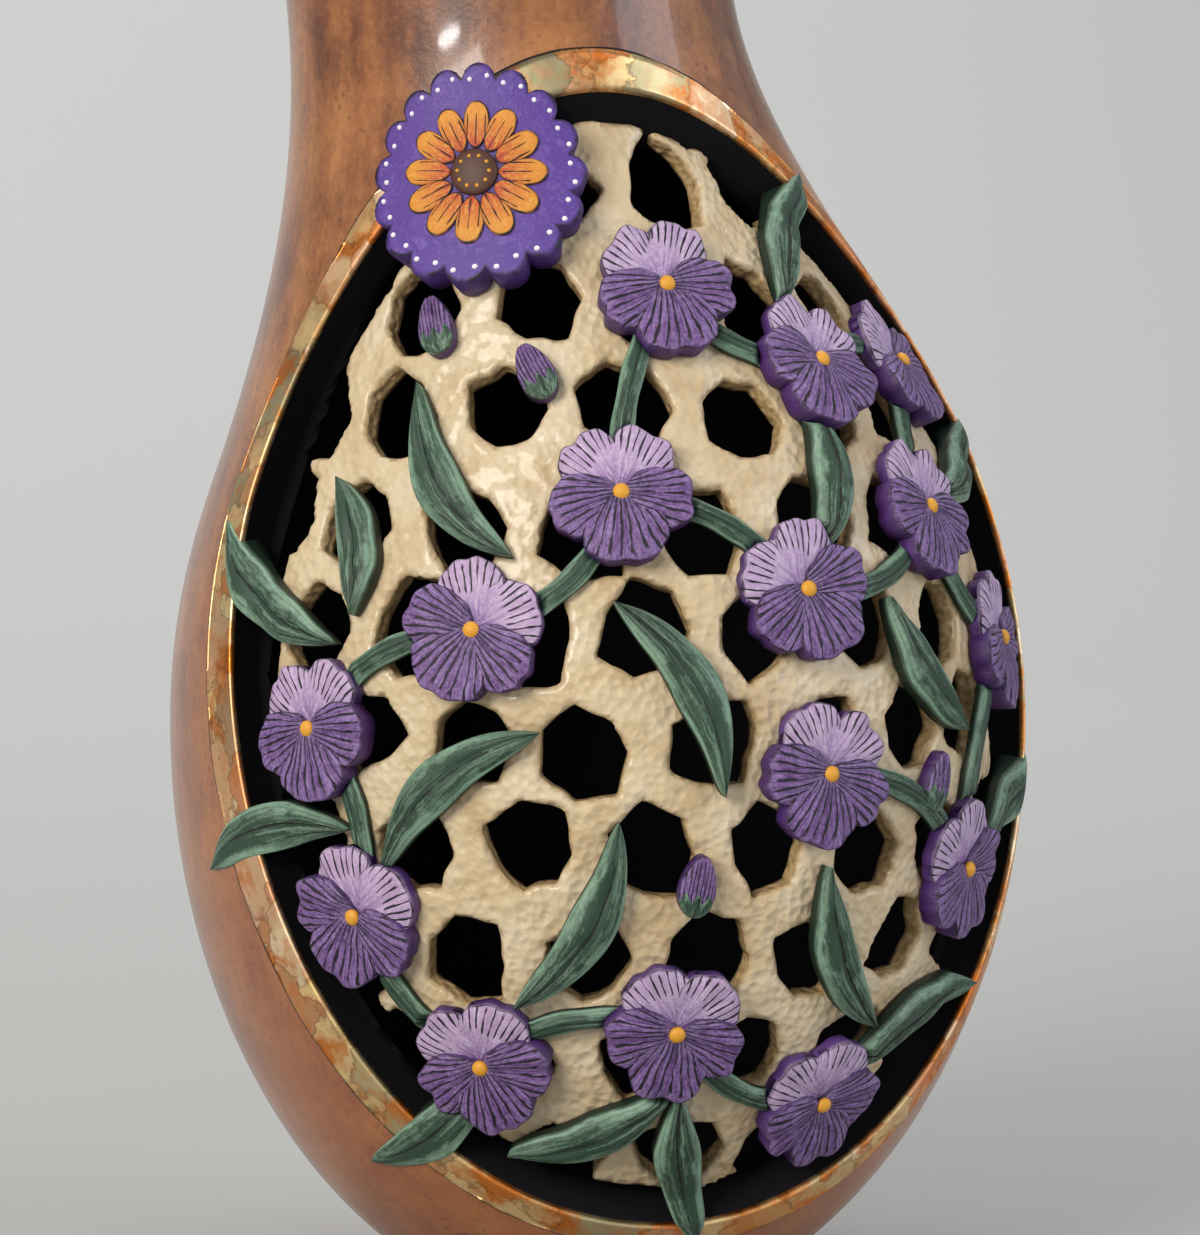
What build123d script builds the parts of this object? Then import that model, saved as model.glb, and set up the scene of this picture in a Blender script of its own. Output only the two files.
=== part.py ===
"""Carved gourd: a hollow shell with an egg-shaped window, an openwork web and a garland glued on it.

Millimetres. The origin is the middle of the flat the gourd stands on, +Z is up and the window faces -Y.
Places on the gourd are given as an angle round its axis, in degrees to the right of the window's
middle, and a height above the flat.
"""

import math
import os
import random

from build123d import *

# Shell of the gourd
BASE_RADIUS = 33.0
BULB_RADIUS = 120.0
BULB_HEIGHT = 161.0
NECK_RADIUS = 62.0
NECK_HEIGHT = 369.0
SHOULDER_FULLNESS = 1.08
SHELL_HEIGHT = 446.0
CROWN_ROUNDNESS = 2.3
NECK_LEAN = 27.0
LEAN_START = 230.0
LEAN_END = 390.0
WALL = 14.0
BOWL_SECTIONS = 9
SHOULDER_SECTIONS = 10
CROWN_SECTIONS = 6

# Dried stem on the crown
STEM_FOOT_RADIUS = 15.0
STEM_WAIST_RADIUS = 7.5
STEM_TIP_RADIUS = 9.0
STEM_LENGTH = 36.0
STEM_WAIST_SHARE = 0.45
STEM_TILT = 16.0
STEM_RIDGES = 5
STEM_RIDGE_ROUNDING = 0.3

# Window in the front, cut toward a focus behind the axis
WINDOW_HALF_ANGLE = 74.5
WINDOW_WIDEST = 221.0
WINDOW_TOP = 335.0
WINDOW_BOTTOM = 32.0
FOCUS_SETBACK = 60.0
FOCUS_HEIGHT = 183.5
CUT_NEAR = 30.0
CUT_FAR = 230.0

# Metal leaf laid round the window
BAND_WIDTH = 13.0
BAND_MARGIN = 0.5
FOIL = 0.4
FOIL_LIFT = 0.05

# Openwork web inside the window
RELIEF_DEPTH = 8.0
MOAT = 9.0
WEB_PITCH = 34.0
WEB_ROWS = 10
WEB_COLUMNS = 11
WEB_LOWEST_ROW = 48.0
HOLE_RADIUS = 12.6
HOLE_CORNERS = 7
HOLE_UNEVENNESS = 2.4
HOLE_WANDER = 2.0
WEB_SEED = 7

# Fits between the glued pieces
GLUE_GAP = 0.4
RELIEF_GAP = 0.5
TOOL_REACH = 16.0
NEIGHBOUR_REACH = 75.0

# Blossoms
PETAL_REACH = 20.0
BACK_PETAL_WIDTH = 19.0
SIDE_PETAL_WIDTH = 17.0
LIP_PETAL_WIDTH = 22.0
BACK_PETAL_TOP = 5.0
FRONT_PETAL_TOP = 7.6
BACK_PETAL_BEARINGS = (128.0, 52.0)
SIDE_PETAL_BEARINGS = (194.0, -14.0)
LIP_PETAL_BEARING = 270.0
EYE_RADIUS = 3.2
EYE_RISE = 0.8
PETAL_ROOM = 1.2

# Leaves, vines and buds
LEAF_WIDTH = 13.0
LEAF_TOP = 6.6
RIM_LEAF_TOP = 8.8
VINE_WIDTH = 6.5
VINE_TOP = 4.2
BUD_LENGTH = 17.0
BUD_WIDTH = 10.0
BUD_TOP = 5.6

# Rosette at the window's top
ROSETTE_ANGLE = -30.0
ROSETTE_HEIGHT = 314.0
ROSETTE_RADIUS = 25.0
SCALLOPS = 16
SCALLOP_RADIUS = 5.2
GROUND_RISE = 0.8
ROSETTE_PETALS = 12
ROSETTE_PETAL_LENGTH = 13.0
ROSETTE_PETAL_WIDTH = 7.6
ROSETTE_PETAL_THICKNESS = 1.0
BUTTON_RADIUS = 6.5
BUTTON_THICKNESS = 1.8
INLAY_GAP = 0.1

# Steps over which the surface's slope, lean and bend are measured, and the flattest bow told from a plane
SLOPE_STEP = 0.05
LEAN_STEP = 0.5
BEND_STEP = 2.0
FLATTEST_BOW = 1000.0

# Places of the blossoms: angle, height, turn of the face
BLOSSOMS = {
    "pansy_1": (24.0, 64.0, 20.0),
    "pansy_2": (-4.0, 88.0, -10.0),
    "pansy_3": (-33.0, 78.0, 15.0),
    "pansy_4": (-50.0, 118.0, -25.0),
    "pansy_5": (-56.0, 168.0, 10.0),
    "pansy_6": (-32.0, 196.0, -30.0),
    "pansy_7": (-12.0, 232.0, 5.0),
    "pansy_8": (14.0, 206.0, 30.0),
    "pansy_9": (42.0, 226.0, -15.0),
    "pansy_10": (58.0, 265.0, 20.0),
    "pansy_11": (29.0, 266.0, -20.0),
    "pansy_12": (46.0, 126.0, 25.0),
    "pansy_13": (16.0, 157.0, -15.0),
    "pansy_14": (3.0, 286.0, 8.0),
    "pansy_15": (60.0, 188.0, 10.0),
}

# Places of the leaves: angle, height, bearing of the tip, length, bend
LEAVES = {
    "leaf_1": (42.0, 82.0, 25.0, 56.0, 5.0),
    "leaf_2": (2.0, 48.0, -75.0, 52.0, -4.0),
    "leaf_3": (-44.0, 64.0, 215.0, 58.0, 6.0),
    "leaf_4": (-64.0, 134.0, 195.0, 58.0, -6.0),
    "leaf_5": (-66.0, 206.0, 150.0, 60.0, 6.0),
    "leaf_6": (62.0, 238.0, 20.0, 54.0, -5.0),
    "leaf_7": (66.0, 140.0, 20.0, 56.0, 5.0),
    "leaf_8": (-20.0, 120.0, 60.0, 60.0, -8.0),
    "leaf_9": (-34.0, 150.0, 40.0, 60.0, 7.5),
    "leaf_10": (-6.0, 178.0, -60.0, 60.0, 8.0),
    "leaf_11": (-36.0, 238.0, 125.0, 58.0, 7.5),
    "leaf_12": (20.0, 236.0, 80.0, 44.0, -5.0),
    "leaf_13": (36.0, 184.0, -50.0, 50.0, -4.0),
    "leaf_14": (24.0, 108.0, 120.0, 56.0, 7.5),
    "leaf_15": (42.0, 298.0, 50.0, 50.0, 4.0),
    "leaf_16": (-54.0, 217.0, 110.0, 40.0, -5.0),
    "leaf_17": (-17.0, 62.0, 205.0, 52.0, 6.0),
}
RIM_LEAVES = ("leaf_1", "leaf_2", "leaf_3", "leaf_4", "leaf_5", "leaf_6", "leaf_7", "leaf_15")

# Vines from one blossom to the next, with the bow of each
VINES = {
    "vine_1": ("pansy_1", "pansy_2", 9.0),
    "vine_2": ("pansy_2", "pansy_3", -8.0),
    "vine_3": ("pansy_3", "pansy_4", 7.0),
    "vine_4": ("pansy_4", "pansy_5", -8.0),
    "vine_5": ("pansy_5", "pansy_6", 8.0),
    "vine_6": ("pansy_6", "pansy_7", -7.0),
    "vine_7": ("pansy_7", "pansy_8", 7.0),
    "vine_8": ("pansy_8", "pansy_9", -8.0),
    "vine_9": ("pansy_9", "pansy_10", 7.0),
    "vine_10": ("pansy_10", "pansy_11", -7.0),
    "vine_11": ("pansy_12", "pansy_13", -8.0),
    "vine_12": ("pansy_11", "pansy_14", 6.0),
    "vine_13": ("pansy_9", "pansy_15", -7.0),
    "vine_14": ("pansy_7", "pansy_14", 7.0),
    "vine_15": ("pansy_12", "pansy_15", 8.0),
}

# Places of the buds: angle, height, bearing of the tip
BUDS = {
    "bud_1": (-2.0, 128.0, 80.0),
    "bud_2": (37.0, 152.0, 70.0),
    "bud_3": (-24.0, 264.0, 120.0),
    "bud_4": (-42.0, 276.0, 110.0),
}

BOWL_DEPTH = BULB_HEIGHT / math.sqrt(1 - (BASE_RADIUS / BULB_RADIUS) ** 2)


def shell_radius(height):
    if height <= BULB_HEIGHT:
        return BULB_RADIUS * math.sqrt(1 - ((BULB_HEIGHT - height) / BOWL_DEPTH) ** 2)
    if height <= NECK_HEIGHT:
        share = ((height - BULB_HEIGHT) / (NECK_HEIGHT - BULB_HEIGHT)) ** SHOULDER_FULLNESS
        return NECK_RADIUS + (BULB_RADIUS - NECK_RADIUS) * (1 + math.cos(math.pi * share)) / 2
    share = (height - NECK_HEIGHT) / (SHELL_HEIGHT - NECK_HEIGHT)
    return NECK_RADIUS * (1 - share**CROWN_ROUNDNESS) ** (1 / CROWN_ROUNDNESS)


def shell_slope(height):
    return (shell_radius(height + SLOPE_STEP) - shell_radius(height - SLOPE_STEP)) / (2 * SLOPE_STEP)


def shell_lean(height):
    share = min(max((height - LEAN_START) / (LEAN_END - LEAN_START), 0), 1)
    return -NECK_LEAN * share * share * (3 - 2 * share)


def section_heights():
    widest_angle = math.asin(BULB_HEIGHT / BOWL_DEPTH)
    heights = []
    for step in range(BOWL_SECTIONS):
        heights.append(BULB_HEIGHT - BOWL_DEPTH * math.sin(widest_angle * (1 - step / BOWL_SECTIONS)))
    for step in range(SHOULDER_SECTIONS):
        heights.append(BULB_HEIGHT + (NECK_HEIGHT - BULB_HEIGHT) * step / SHOULDER_SECTIONS)
    for step in range(CROWN_SECTIONS):
        share = math.sin(math.pi / 2 * step / CROWN_SECTIONS)
        heights.append(NECK_HEIGHT + (SHELL_HEIGHT - NECK_HEIGHT) * share)
    return heights


def gourd_form(depth, ruled=False):
    """The gourd's solid form, taken in everywhere by depth along its surface."""
    with BuildPart() as form:
        for height in section_heights():
            slope = shell_slope(height)
            stretch = math.sqrt(1 + slope * slope)
            level = height + depth * slope / stretch
            with BuildSketch(Plane((shell_lean(height), 0, level), x_dir=(0, 1, 0), z_dir=(0, 0, 1))):
                Circle(shell_radius(height) - depth / stretch)
        loft(ruled=ruled)
    return form.part


def lean_rate(height):
    return (shell_lean(height + LEAN_STEP) - shell_lean(height - LEAN_STEP)) / (2 * LEAN_STEP)


def surface_frame(angle, height, depth=0.0):
    """Plane on the gourd's surface, or sunk below it: x runs to the right, y up and z out."""
    turn = math.radians(angle)
    slope = shell_slope(height)
    stretch = math.sqrt(1 + slope * slope)
    radius = shell_radius(height) - depth / stretch
    foot = (
        shell_lean(height) + radius * math.sin(turn),
        -radius * math.cos(turn),
        height + depth * slope / stretch,
    )
    outward = (math.sin(turn), -math.cos(turn), -slope - lean_rate(height) * math.sin(turn))
    return Plane(foot, x_dir=(math.cos(turn), math.sin(turn), 0), z_dir=outward)


def place_beside(angle, height, across, up):
    """The angle and height of a place that lies some way across and up the surface."""
    turn = math.radians(angle)
    slope = shell_slope(height) + lean_rate(height) * math.sin(turn)
    rise = up / math.sqrt(1 + slope * slope)
    sideways = across - lean_rate(height) * math.cos(turn) * rise
    return angle + math.degrees(sideways / shell_radius(height)), height + rise


def surface_bow(height, bearing):
    """Radius of the surface's bow along a bearing, where it bows outward."""
    slope = shell_slope(height)
    stretch = math.sqrt(1 + slope * slope)
    bend = (shell_slope(height + BEND_STEP) - shell_slope(height - BEND_STEP)) / (2 * BEND_STEP)
    round_the_axis = 1 / (shell_radius(height) * stretch)
    up_the_side = -bend / stretch**3
    run = math.radians(bearing)
    bow = round_the_axis * math.cos(run) ** 2 + up_the_side * math.sin(run) ** 2
    return 1 / max(bow, 1 / FLATTEST_BOW)


def window_cone(margin):
    """Egg-shaped cone through the window's outline, set back from it by a margin."""
    side_angle = math.radians(WINDOW_HALF_ANGLE)
    side_radius = shell_radius(WINDOW_WIDEST)
    side_reach = FOCUS_SETBACK + side_radius * math.cos(side_angle)
    top_reach = FOCUS_SETBACK + math.sqrt(shell_radius(WINDOW_TOP) ** 2 - shell_lean(WINDOW_TOP) ** 2)
    bottom_reach = FOCUS_SETBACK + shell_radius(WINDOW_BOTTOM)
    middle = (WINDOW_WIDEST - FOCUS_HEIGHT) / side_reach
    side_sight = math.hypot(side_reach, side_radius * math.sin(side_angle))
    half_width = side_radius * math.sin(side_angle) / side_reach
    half_width += margin * side_sight / side_reach**2
    upper = (WINDOW_TOP - FOCUS_HEIGHT) / top_reach - middle + margin / top_reach
    lower = (FOCUS_HEIGHT - WINDOW_BOTTOM) / bottom_reach + middle + margin / bottom_reach
    with BuildPart() as cone:
        for reach in (CUT_NEAR, CUT_FAR):
            face = Plane((0, FOCUS_SETBACK - reach, FOCUS_HEIGHT), x_dir=(1, 0, 0), z_dir=(0, -1, 0))
            with BuildSketch(face):
                with BuildLine():
                    centre = (0, middle * reach)
                    EllipticalCenterArc(centre, half_width * reach, upper * reach, 0, arc_size=180)
                    EllipticalCenterArc(centre, half_width * reach, lower * reach, 180, arc_size=180)
                make_face()
        loft(ruled=True)
    return cone.part


def petal_bearings(turn):
    """Bearings and widths of a blossom's back petals, then of its front petals."""
    back = [(turn + bearing, BACK_PETAL_WIDTH) for bearing in BACK_PETAL_BEARINGS]
    front = [(turn + bearing, SIDE_PETAL_WIDTH) for bearing in SIDE_PETAL_BEARINGS]
    front.append((turn + LIP_PETAL_BEARING, LIP_PETAL_WIDTH))
    return back, front


def blossom_form(angle, height, turn):
    """Five petals and an eye, each petal lying on the surface under it."""
    sunk = RELIEF_DEPTH - GLUE_GAP
    middle = PETAL_REACH / 2
    with BuildPart() as blossom:
        for petals, top in zip(petal_bearings(turn), (BACK_PETAL_TOP, FRONT_PETAL_TOP)):
            for bearing, width in petals:
                run = math.radians(bearing)
                spot = place_beside(angle, height, middle * math.cos(run), middle * math.sin(run))
                with BuildSketch(surface_frame(*spot, sunk)):
                    Ellipse(middle, width / 2, rotation=bearing)
            extrude(amount=top - GLUE_GAP)
        with BuildSketch(surface_frame(angle, height, sunk)):
            Circle(EYE_RADIUS)
        extrude(amount=FRONT_PETAL_TOP + EYE_RISE - GLUE_GAP)
    return blossom.part


def blossom_room(angle, height, turn):
    """Room that other pieces leave round a blossom."""
    back, front = petal_bearings(turn)
    middle = PETAL_REACH / 2
    with BuildPart() as room:
        with BuildSketch(surface_frame(angle, height, RELIEF_DEPTH).offset(-TOOL_REACH / 2)):
            for bearing, width in back + front:
                run = math.radians(bearing)
                with Locations((middle * math.cos(run), middle * math.sin(run))):
                    Ellipse(middle + PETAL_ROOM, width / 2 + PETAL_ROOM, rotation=bearing)
        extrude(amount=2 * TOOL_REACH)
    return room.part


def ribbon_form(angle, height, bearing, length, bend, width, end_width, top, grow=0.0):
    """A bowed strip on the surface, pointed where its end width is nothing."""
    sunk = RELIEF_DEPTH - GLUE_GAP + grow
    frame = surface_frame(angle, height, sunk)
    run = math.radians(bearing)
    along = frame.x_dir * math.cos(run) + frame.y_dir * math.sin(run)
    half_length = length / 2 + grow
    half_width = width / 2 + grow
    half_end = end_width / 2 + grow if end_width else 0
    with BuildPart() as ribbon:
        with BuildSketch(Plane(frame.origin, x_dir=along, z_dir=frame.z_dir)):
            with BuildLine():
                ThreePointArc((-half_length, half_end), (0, bend + half_width), (half_length, half_end))
                if end_width:
                    Line((half_length, half_end), (half_length, -half_end))
                ThreePointArc((half_length, -half_end), (0, bend - half_width), (-half_length, -half_end))
                if end_width:
                    Line((-half_length, -half_end), (-half_length, half_end))
            make_face()
        extrude(amount=TOOL_REACH, both=True)
        thickness = TOOL_REACH if grow else top - GLUE_GAP
        bow = surface_bow(height, bearing)
        with BuildSketch(Plane(frame.origin, x_dir=along, z_dir=along.cross(frame.z_dir))):
            with Locations((0, -bow)):
                Circle(bow + thickness)
                Circle(bow, mode=Mode.SUBTRACT)
        extrude(amount=length, both=True, mode=Mode.INTERSECT)
    return ribbon.part


def leaf_form(angle, height, bearing, length, bend, top=LEAF_TOP, grow=0.0):
    return ribbon_form(angle, height, bearing, length, bend, LEAF_WIDTH, 0, top, grow)


def vine_place(start, end):
    """Middle, bearing and length of a vine between two blossoms."""
    start_angle, start_height, _ = BLOSSOMS[start]
    end_angle, end_height, _ = BLOSSOMS[end]
    angle = (start_angle + end_angle) / 2
    height = (start_height + end_height) / 2
    rise = end_height - start_height
    across = math.radians(end_angle - start_angle) * shell_radius(height)
    across += lean_rate(height) * math.cos(math.radians(angle)) * rise
    up = rise * math.sqrt(1 + shell_slope(height) ** 2)
    return angle, height, math.degrees(math.atan2(up, across)), math.hypot(across, up)


def bud_form(angle, height, bearing, grow=0.0):
    sunk = RELIEF_DEPTH - GLUE_GAP + grow
    with BuildPart() as bud:
        with BuildSketch(surface_frame(angle, height, sunk)):
            Ellipse(BUD_LENGTH / 2 + grow, BUD_WIDTH / 2 + grow, rotation=bearing)
        extrude(amount=TOOL_REACH if grow else BUD_TOP - GLUE_GAP)
    return bud.part


def rosette_prism(grow=0.0):
    """Round prism with a scalloped edge, through the shell at the rosette's place."""
    with BuildPart() as prism:
        with BuildSketch(rosette_frame.offset(-TOOL_REACH)):
            Circle(ROSETTE_RADIUS + grow)
            with PolarLocations(ROSETTE_RADIUS, SCALLOPS):
                Circle(SCALLOP_RADIUS + grow)
        extrude(amount=2 * TOOL_REACH)
    return prism.part


def near(first, second):
    """Whether two places lie close enough for pieces set there to meet."""
    height = (first[1] + second[1]) / 2
    across = math.radians(first[0] - second[0]) * shell_radius(height)
    return math.hypot(across, first[1] - second[1]) < NEIGHBOUR_REACH


def trimmed(form, place, rooms, name):
    """A piece cut back to leave room for the pieces set before it."""
    with BuildPart() as piece:
        add(form)
        neighbours = [room for spot, room in rooms if near(place, spot)]
        if neighbours:
            add(neighbours, mode=Mode.SUBTRACT)
    piece.part.label = name
    return piece.part


rosette_frame = surface_frame(ROSETTE_ANGLE, ROSETTE_HEIGHT)
outer_form = gourd_form(0)
cavity_form = gourd_form(WALL, ruled=True)
relief_form = gourd_form(RELIEF_DEPTH)
pieces = []

# Rosette at the window's top: scalloped ground, ring of petals and a button
with BuildPart() as rosette_room:
    add(rosette_prism(RELIEF_GAP))
    add(relief_form, mode=Mode.SUBTRACT)

with BuildPart() as rosette_ground:
    add(rosette_prism())
    add(gourd_form(-GROUND_RISE), mode=Mode.INTERSECT)
    add(gourd_form(RELIEF_DEPTH - GLUE_GAP), mode=Mode.SUBTRACT)
rosette_ground.part.label = "rosette_ground"
pieces.append(rosette_ground.part)

with BuildPart() as rosette_petals:
    with BuildSketch(rosette_frame.offset(-TOOL_REACH)):
        with PolarLocations(BUTTON_RADIUS + ROSETTE_PETAL_LENGTH / 2, ROSETTE_PETALS):
            Ellipse(ROSETTE_PETAL_LENGTH / 2, ROSETTE_PETAL_WIDTH / 2)
    extrude(amount=2 * TOOL_REACH)
    add(gourd_form(-GROUND_RISE - INLAY_GAP - ROSETTE_PETAL_THICKNESS), mode=Mode.INTERSECT)
    add(gourd_form(-GROUND_RISE - INLAY_GAP), mode=Mode.SUBTRACT)
rosette_petals.part.label = "rosette_petals"
pieces.append(rosette_petals.part)

with BuildPart() as rosette_button:
    with BuildSketch(rosette_frame.offset(GROUND_RISE + GLUE_GAP)):
        Circle(BUTTON_RADIUS - INLAY_GAP)
    extrude(amount=BUTTON_THICKNESS)
rosette_button.part.label = "rosette_button"
pieces.append(rosette_button.part)

# Blossoms, then leaves, buds and vines, each leaving room for those before it
rooms = [((ROSETTE_ANGLE, ROSETTE_HEIGHT), rosette_room.part)]
for name, place in BLOSSOMS.items():
    blossom = blossom_form(*place)
    blossom.label = name
    pieces.append(blossom)
    rooms.append((place, blossom_room(*place)))
for name, place in LEAVES.items():
    leaf = leaf_form(*place, top=RIM_LEAF_TOP if name in RIM_LEAVES else LEAF_TOP)
    pieces.append(trimmed(leaf, place, rooms, name))
    rooms.append((place, leaf_form(*place, grow=RELIEF_GAP)))
for name, place in BUDS.items():
    pieces.append(trimmed(bud_form(*place), place, rooms, name))
    rooms.append((place, bud_form(*place, grow=RELIEF_GAP)))
for name, (start, end, bow) in VINES.items():
    place = vine_place(start, end)
    vine = ribbon_form(*place, bow, VINE_WIDTH, VINE_WIDTH, VINE_TOP)
    pieces.append(trimmed(vine, place, rooms, name))

# Shell: hollow, with the window and the pockets of the pieces that cross its rim
with BuildPart() as pockets:
    add(rosette_room.part)
    for name in RIM_LEAVES:
        add(leaf_form(*LEAVES[name], grow=RELIEF_GAP))

with BuildPart() as gourd_shell:
    add(outer_form)
    add(cavity_form, mode=Mode.SUBTRACT)
    add(window_cone(0), mode=Mode.SUBTRACT)
    add(pockets.part, mode=Mode.SUBTRACT)
gourd_shell.part.label = "gourd_shell"
pieces.append(gourd_shell.part)

# Dried stem, ridged, flared at its foot and cut off at its tip
stem_foot = Vector(shell_lean(SHELL_HEIGHT), 0, section_heights()[-1])
stem_run = Vector(-math.sin(math.radians(STEM_TILT)), 0, math.cos(math.radians(STEM_TILT)))
stem_sections = (
    (stem_foot, Vector(0, 0, 1), STEM_FOOT_RADIUS),
    (stem_foot + stem_run * STEM_LENGTH * STEM_WAIST_SHARE, stem_run, STEM_WAIST_RADIUS),
    (stem_foot + stem_run * STEM_LENGTH, stem_run, STEM_TIP_RADIUS),
)
with BuildPart() as dried_stem:
    for middle, facing, radius in stem_sections:
        with BuildSketch(Plane(middle, x_dir=(0, 1, 0), z_dir=facing)) as section:
            RegularPolygon(radius, STEM_RIDGES)
            fillet(section.vertices(), radius * STEM_RIDGE_ROUNDING)
    loft()
dried_stem.part.label = "dried_stem"
pieces.append(dried_stem.part)

# Metal leaf laid on the shell round the window
with BuildPart() as leaf_band:
    add(window_cone(BAND_WIDTH))
    add(window_cone(BAND_MARGIN), mode=Mode.SUBTRACT)
    add(gourd_form(-FOIL_LIFT - FOIL), mode=Mode.INTERSECT)
    add(gourd_form(-FOIL_LIFT), mode=Mode.SUBTRACT)
    add(pockets.part, mode=Mode.SUBTRACT)
leaf_band.part.label = "gold_leaf_band"
pieces.append(leaf_band.part)

# Openwork web: the sunk panel, pierced by rows of uneven holes
chance = random.Random(WEB_SEED)
with BuildPart() as openwork_web:
    add(window_cone(-MOAT))
    add(gourd_form(RELIEF_DEPTH, ruled=True), mode=Mode.INTERSECT)
    add(cavity_form, mode=Mode.SUBTRACT)
    for row in range(WEB_ROWS):
        row_height = WEB_LOWEST_ROW + row * WEB_PITCH * math.sqrt(3) / 2
        for column in range(WEB_COLUMNS):
            step = column - (WEB_COLUMNS - 1) / 2 + row % 2 / 2
            across = step * WEB_PITCH + chance.uniform(-HOLE_WANDER, HOLE_WANDER)
            up = chance.uniform(-HOLE_WANDER, HOLE_WANDER)
            corners = []
            for corner in range(HOLE_CORNERS):
                run = 2 * math.pi * corner / HOLE_CORNERS
                reach = HOLE_RADIUS + chance.uniform(-HOLE_UNEVENNESS, HOLE_UNEVENNESS)
                corners.append((reach * math.cos(run), reach * math.sin(run)))
            spot = place_beside(0, row_height, across, up)
            if abs(spot[0]) < WINDOW_HALF_ANGLE:
                with BuildSketch(surface_frame(*spot, TOOL_REACH)):
                    with BuildLine():
                        Polyline(*corners, close=True)
                    make_face()
    extrude(amount=TOOL_REACH, mode=Mode.SUBTRACT)
openwork_web.part.label = "openwork_web"
pieces.append(openwork_web.part)

os.makedirs("parts", exist_ok=True)
for piece in pieces:
    export_step(piece, f"parts/{piece.label}.step")
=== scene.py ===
import math
import random

import bpy
import numpy as np
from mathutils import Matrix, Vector


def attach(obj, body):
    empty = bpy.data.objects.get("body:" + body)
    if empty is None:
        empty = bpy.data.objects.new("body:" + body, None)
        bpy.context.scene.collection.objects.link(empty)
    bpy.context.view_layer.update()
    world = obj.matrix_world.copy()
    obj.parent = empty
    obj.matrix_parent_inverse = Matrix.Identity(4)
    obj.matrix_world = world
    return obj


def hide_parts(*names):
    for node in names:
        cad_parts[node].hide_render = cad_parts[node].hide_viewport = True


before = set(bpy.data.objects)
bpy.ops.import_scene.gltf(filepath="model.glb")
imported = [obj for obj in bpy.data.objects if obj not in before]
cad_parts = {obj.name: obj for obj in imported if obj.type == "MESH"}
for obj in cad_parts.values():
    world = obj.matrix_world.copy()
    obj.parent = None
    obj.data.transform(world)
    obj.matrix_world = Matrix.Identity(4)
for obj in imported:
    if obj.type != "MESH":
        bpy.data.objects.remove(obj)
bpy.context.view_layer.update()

mm = 0.001
print("frame loaded:", len(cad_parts), "nodes")

# The gourd's own form, in millimetres, as the solids have it
gourd = {
    "baseRadius": 33.0, "bulbRadius": 120.0, "bulbHeight": 161.0,
    "neckRadius": 62.0, "neckHeight": 369.0, "fullness": 1.08,
    "shellHeight": 446.0, "crownRoundness": 2.3,
    "lean": 27.0, "leanStart": 230.0, "leanEnd": 390.0, "wall": 14.0,
}
window = {
    "halfAngle": 74.5, "widest": 221.0, "top": 335.0, "bottom": 32.0,
    "focusSetback": 60.0, "focusHeight": 183.5, "leastReach": 20.0, "farSide": 95.0,
}
relief = {"webDepth": 8.0, "seat": 7.6, "moat": 9.0}
farOutside = -30.0
bowlDepth = gourd["bulbHeight"] / math.sqrt(1 - (gourd["baseRadius"] / gourd["bulbRadius"]) ** 2)
focus = np.array([0, window["focusSetback"], window["focusHeight"]])


def smoothStep(low, high, value):
    share = np.clip((np.asarray(value) - low) / (high - low), 0, 1)
    return share * share * (3 - 2 * share)


def unit(vectors):
    return vectors / np.linalg.norm(vectors, axis=1)[:, None]


def shellRadius(height):
    height = np.asarray(height, float)
    g = gourd
    bowl = g["bulbRadius"] * np.sqrt(np.clip(1 - ((g["bulbHeight"] - height) / bowlDepth) ** 2, 0, None))
    share = np.clip((height - g["bulbHeight"]) / (g["neckHeight"] - g["bulbHeight"]), 0, 1) ** g["fullness"]
    shoulder = g["neckRadius"] + (g["bulbRadius"] - g["neckRadius"]) * (1 + np.cos(np.pi * share)) / 2
    top = np.clip((height - g["neckHeight"]) / (g["shellHeight"] - g["neckHeight"]), 0, 1)
    crown = g["neckRadius"] * (1 - top ** g["crownRoundness"]) ** (1 / g["crownRoundness"])
    return np.where(height <= g["bulbHeight"], bowl, np.where(height <= g["neckHeight"], shoulder, crown))


def shellSlope(height):
    step = 0.05
    height = np.clip(height, 0.5, gourd["shellHeight"] - 0.3)
    return (shellRadius(height + step) - shellRadius(height - step)) / (2 * step)


def shellLean(height):
    return -gourd["lean"] * smoothStep(gourd["leanStart"], gourd["leanEnd"], height)


def leanRate(height):
    return shellLean(np.asarray(height) + 0.5) - shellLean(np.asarray(height) - 0.5)


# A point on the gourd: degrees right of the window's middle, height, and lift off the surface
def surfacePoint(angle, height, lift=0.0):
    turn = np.radians(angle)
    slope = shellSlope(height)
    stretch = np.sqrt(1 + slope * slope)
    radius = shellRadius(height) + lift / stretch
    x = shellLean(height) + radius * np.sin(turn)
    return np.stack([x, -radius * np.cos(turn), height - lift * slope / stretch], axis=-1)


# How the surface lies at a place: its radius, its length for a rise, and its drift sideways
def surfaceAt(place):
    turn, lean = math.radians(place[0]), float(leanRate(place[1]))
    slope = float(shellSlope(place[1])) + lean * math.sin(turn)
    return float(shellRadius(place[1])), math.sqrt(1 + slope * slope), lean * math.cos(turn)


# The angle and height of places some millimetres across and up from a place on the gourd
def placeBeside(place, across, up):
    radius, stretch, drift = surfaceAt(place)
    rise = np.asarray(up) / stretch
    return place[0] + np.degrees((np.asarray(across) - drift * rise) / radius), place[1] + rise


# The reverse: how far across and up other places lie
def offsetFrom(place, angles, heights):
    radius, stretch, drift = surfaceAt(place)
    rise = np.asarray(heights) - place[1]
    return np.radians(np.asarray(angles) - place[0]) * radius + drift * rise, rise * stretch


# Offsets seen along a bearing, and places from offsets along and beside one
def turned(bearing, across, up):
    run = math.radians(bearing)
    return across * math.cos(run) + up * math.sin(run), up * math.cos(run) - across * math.sin(run)


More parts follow.
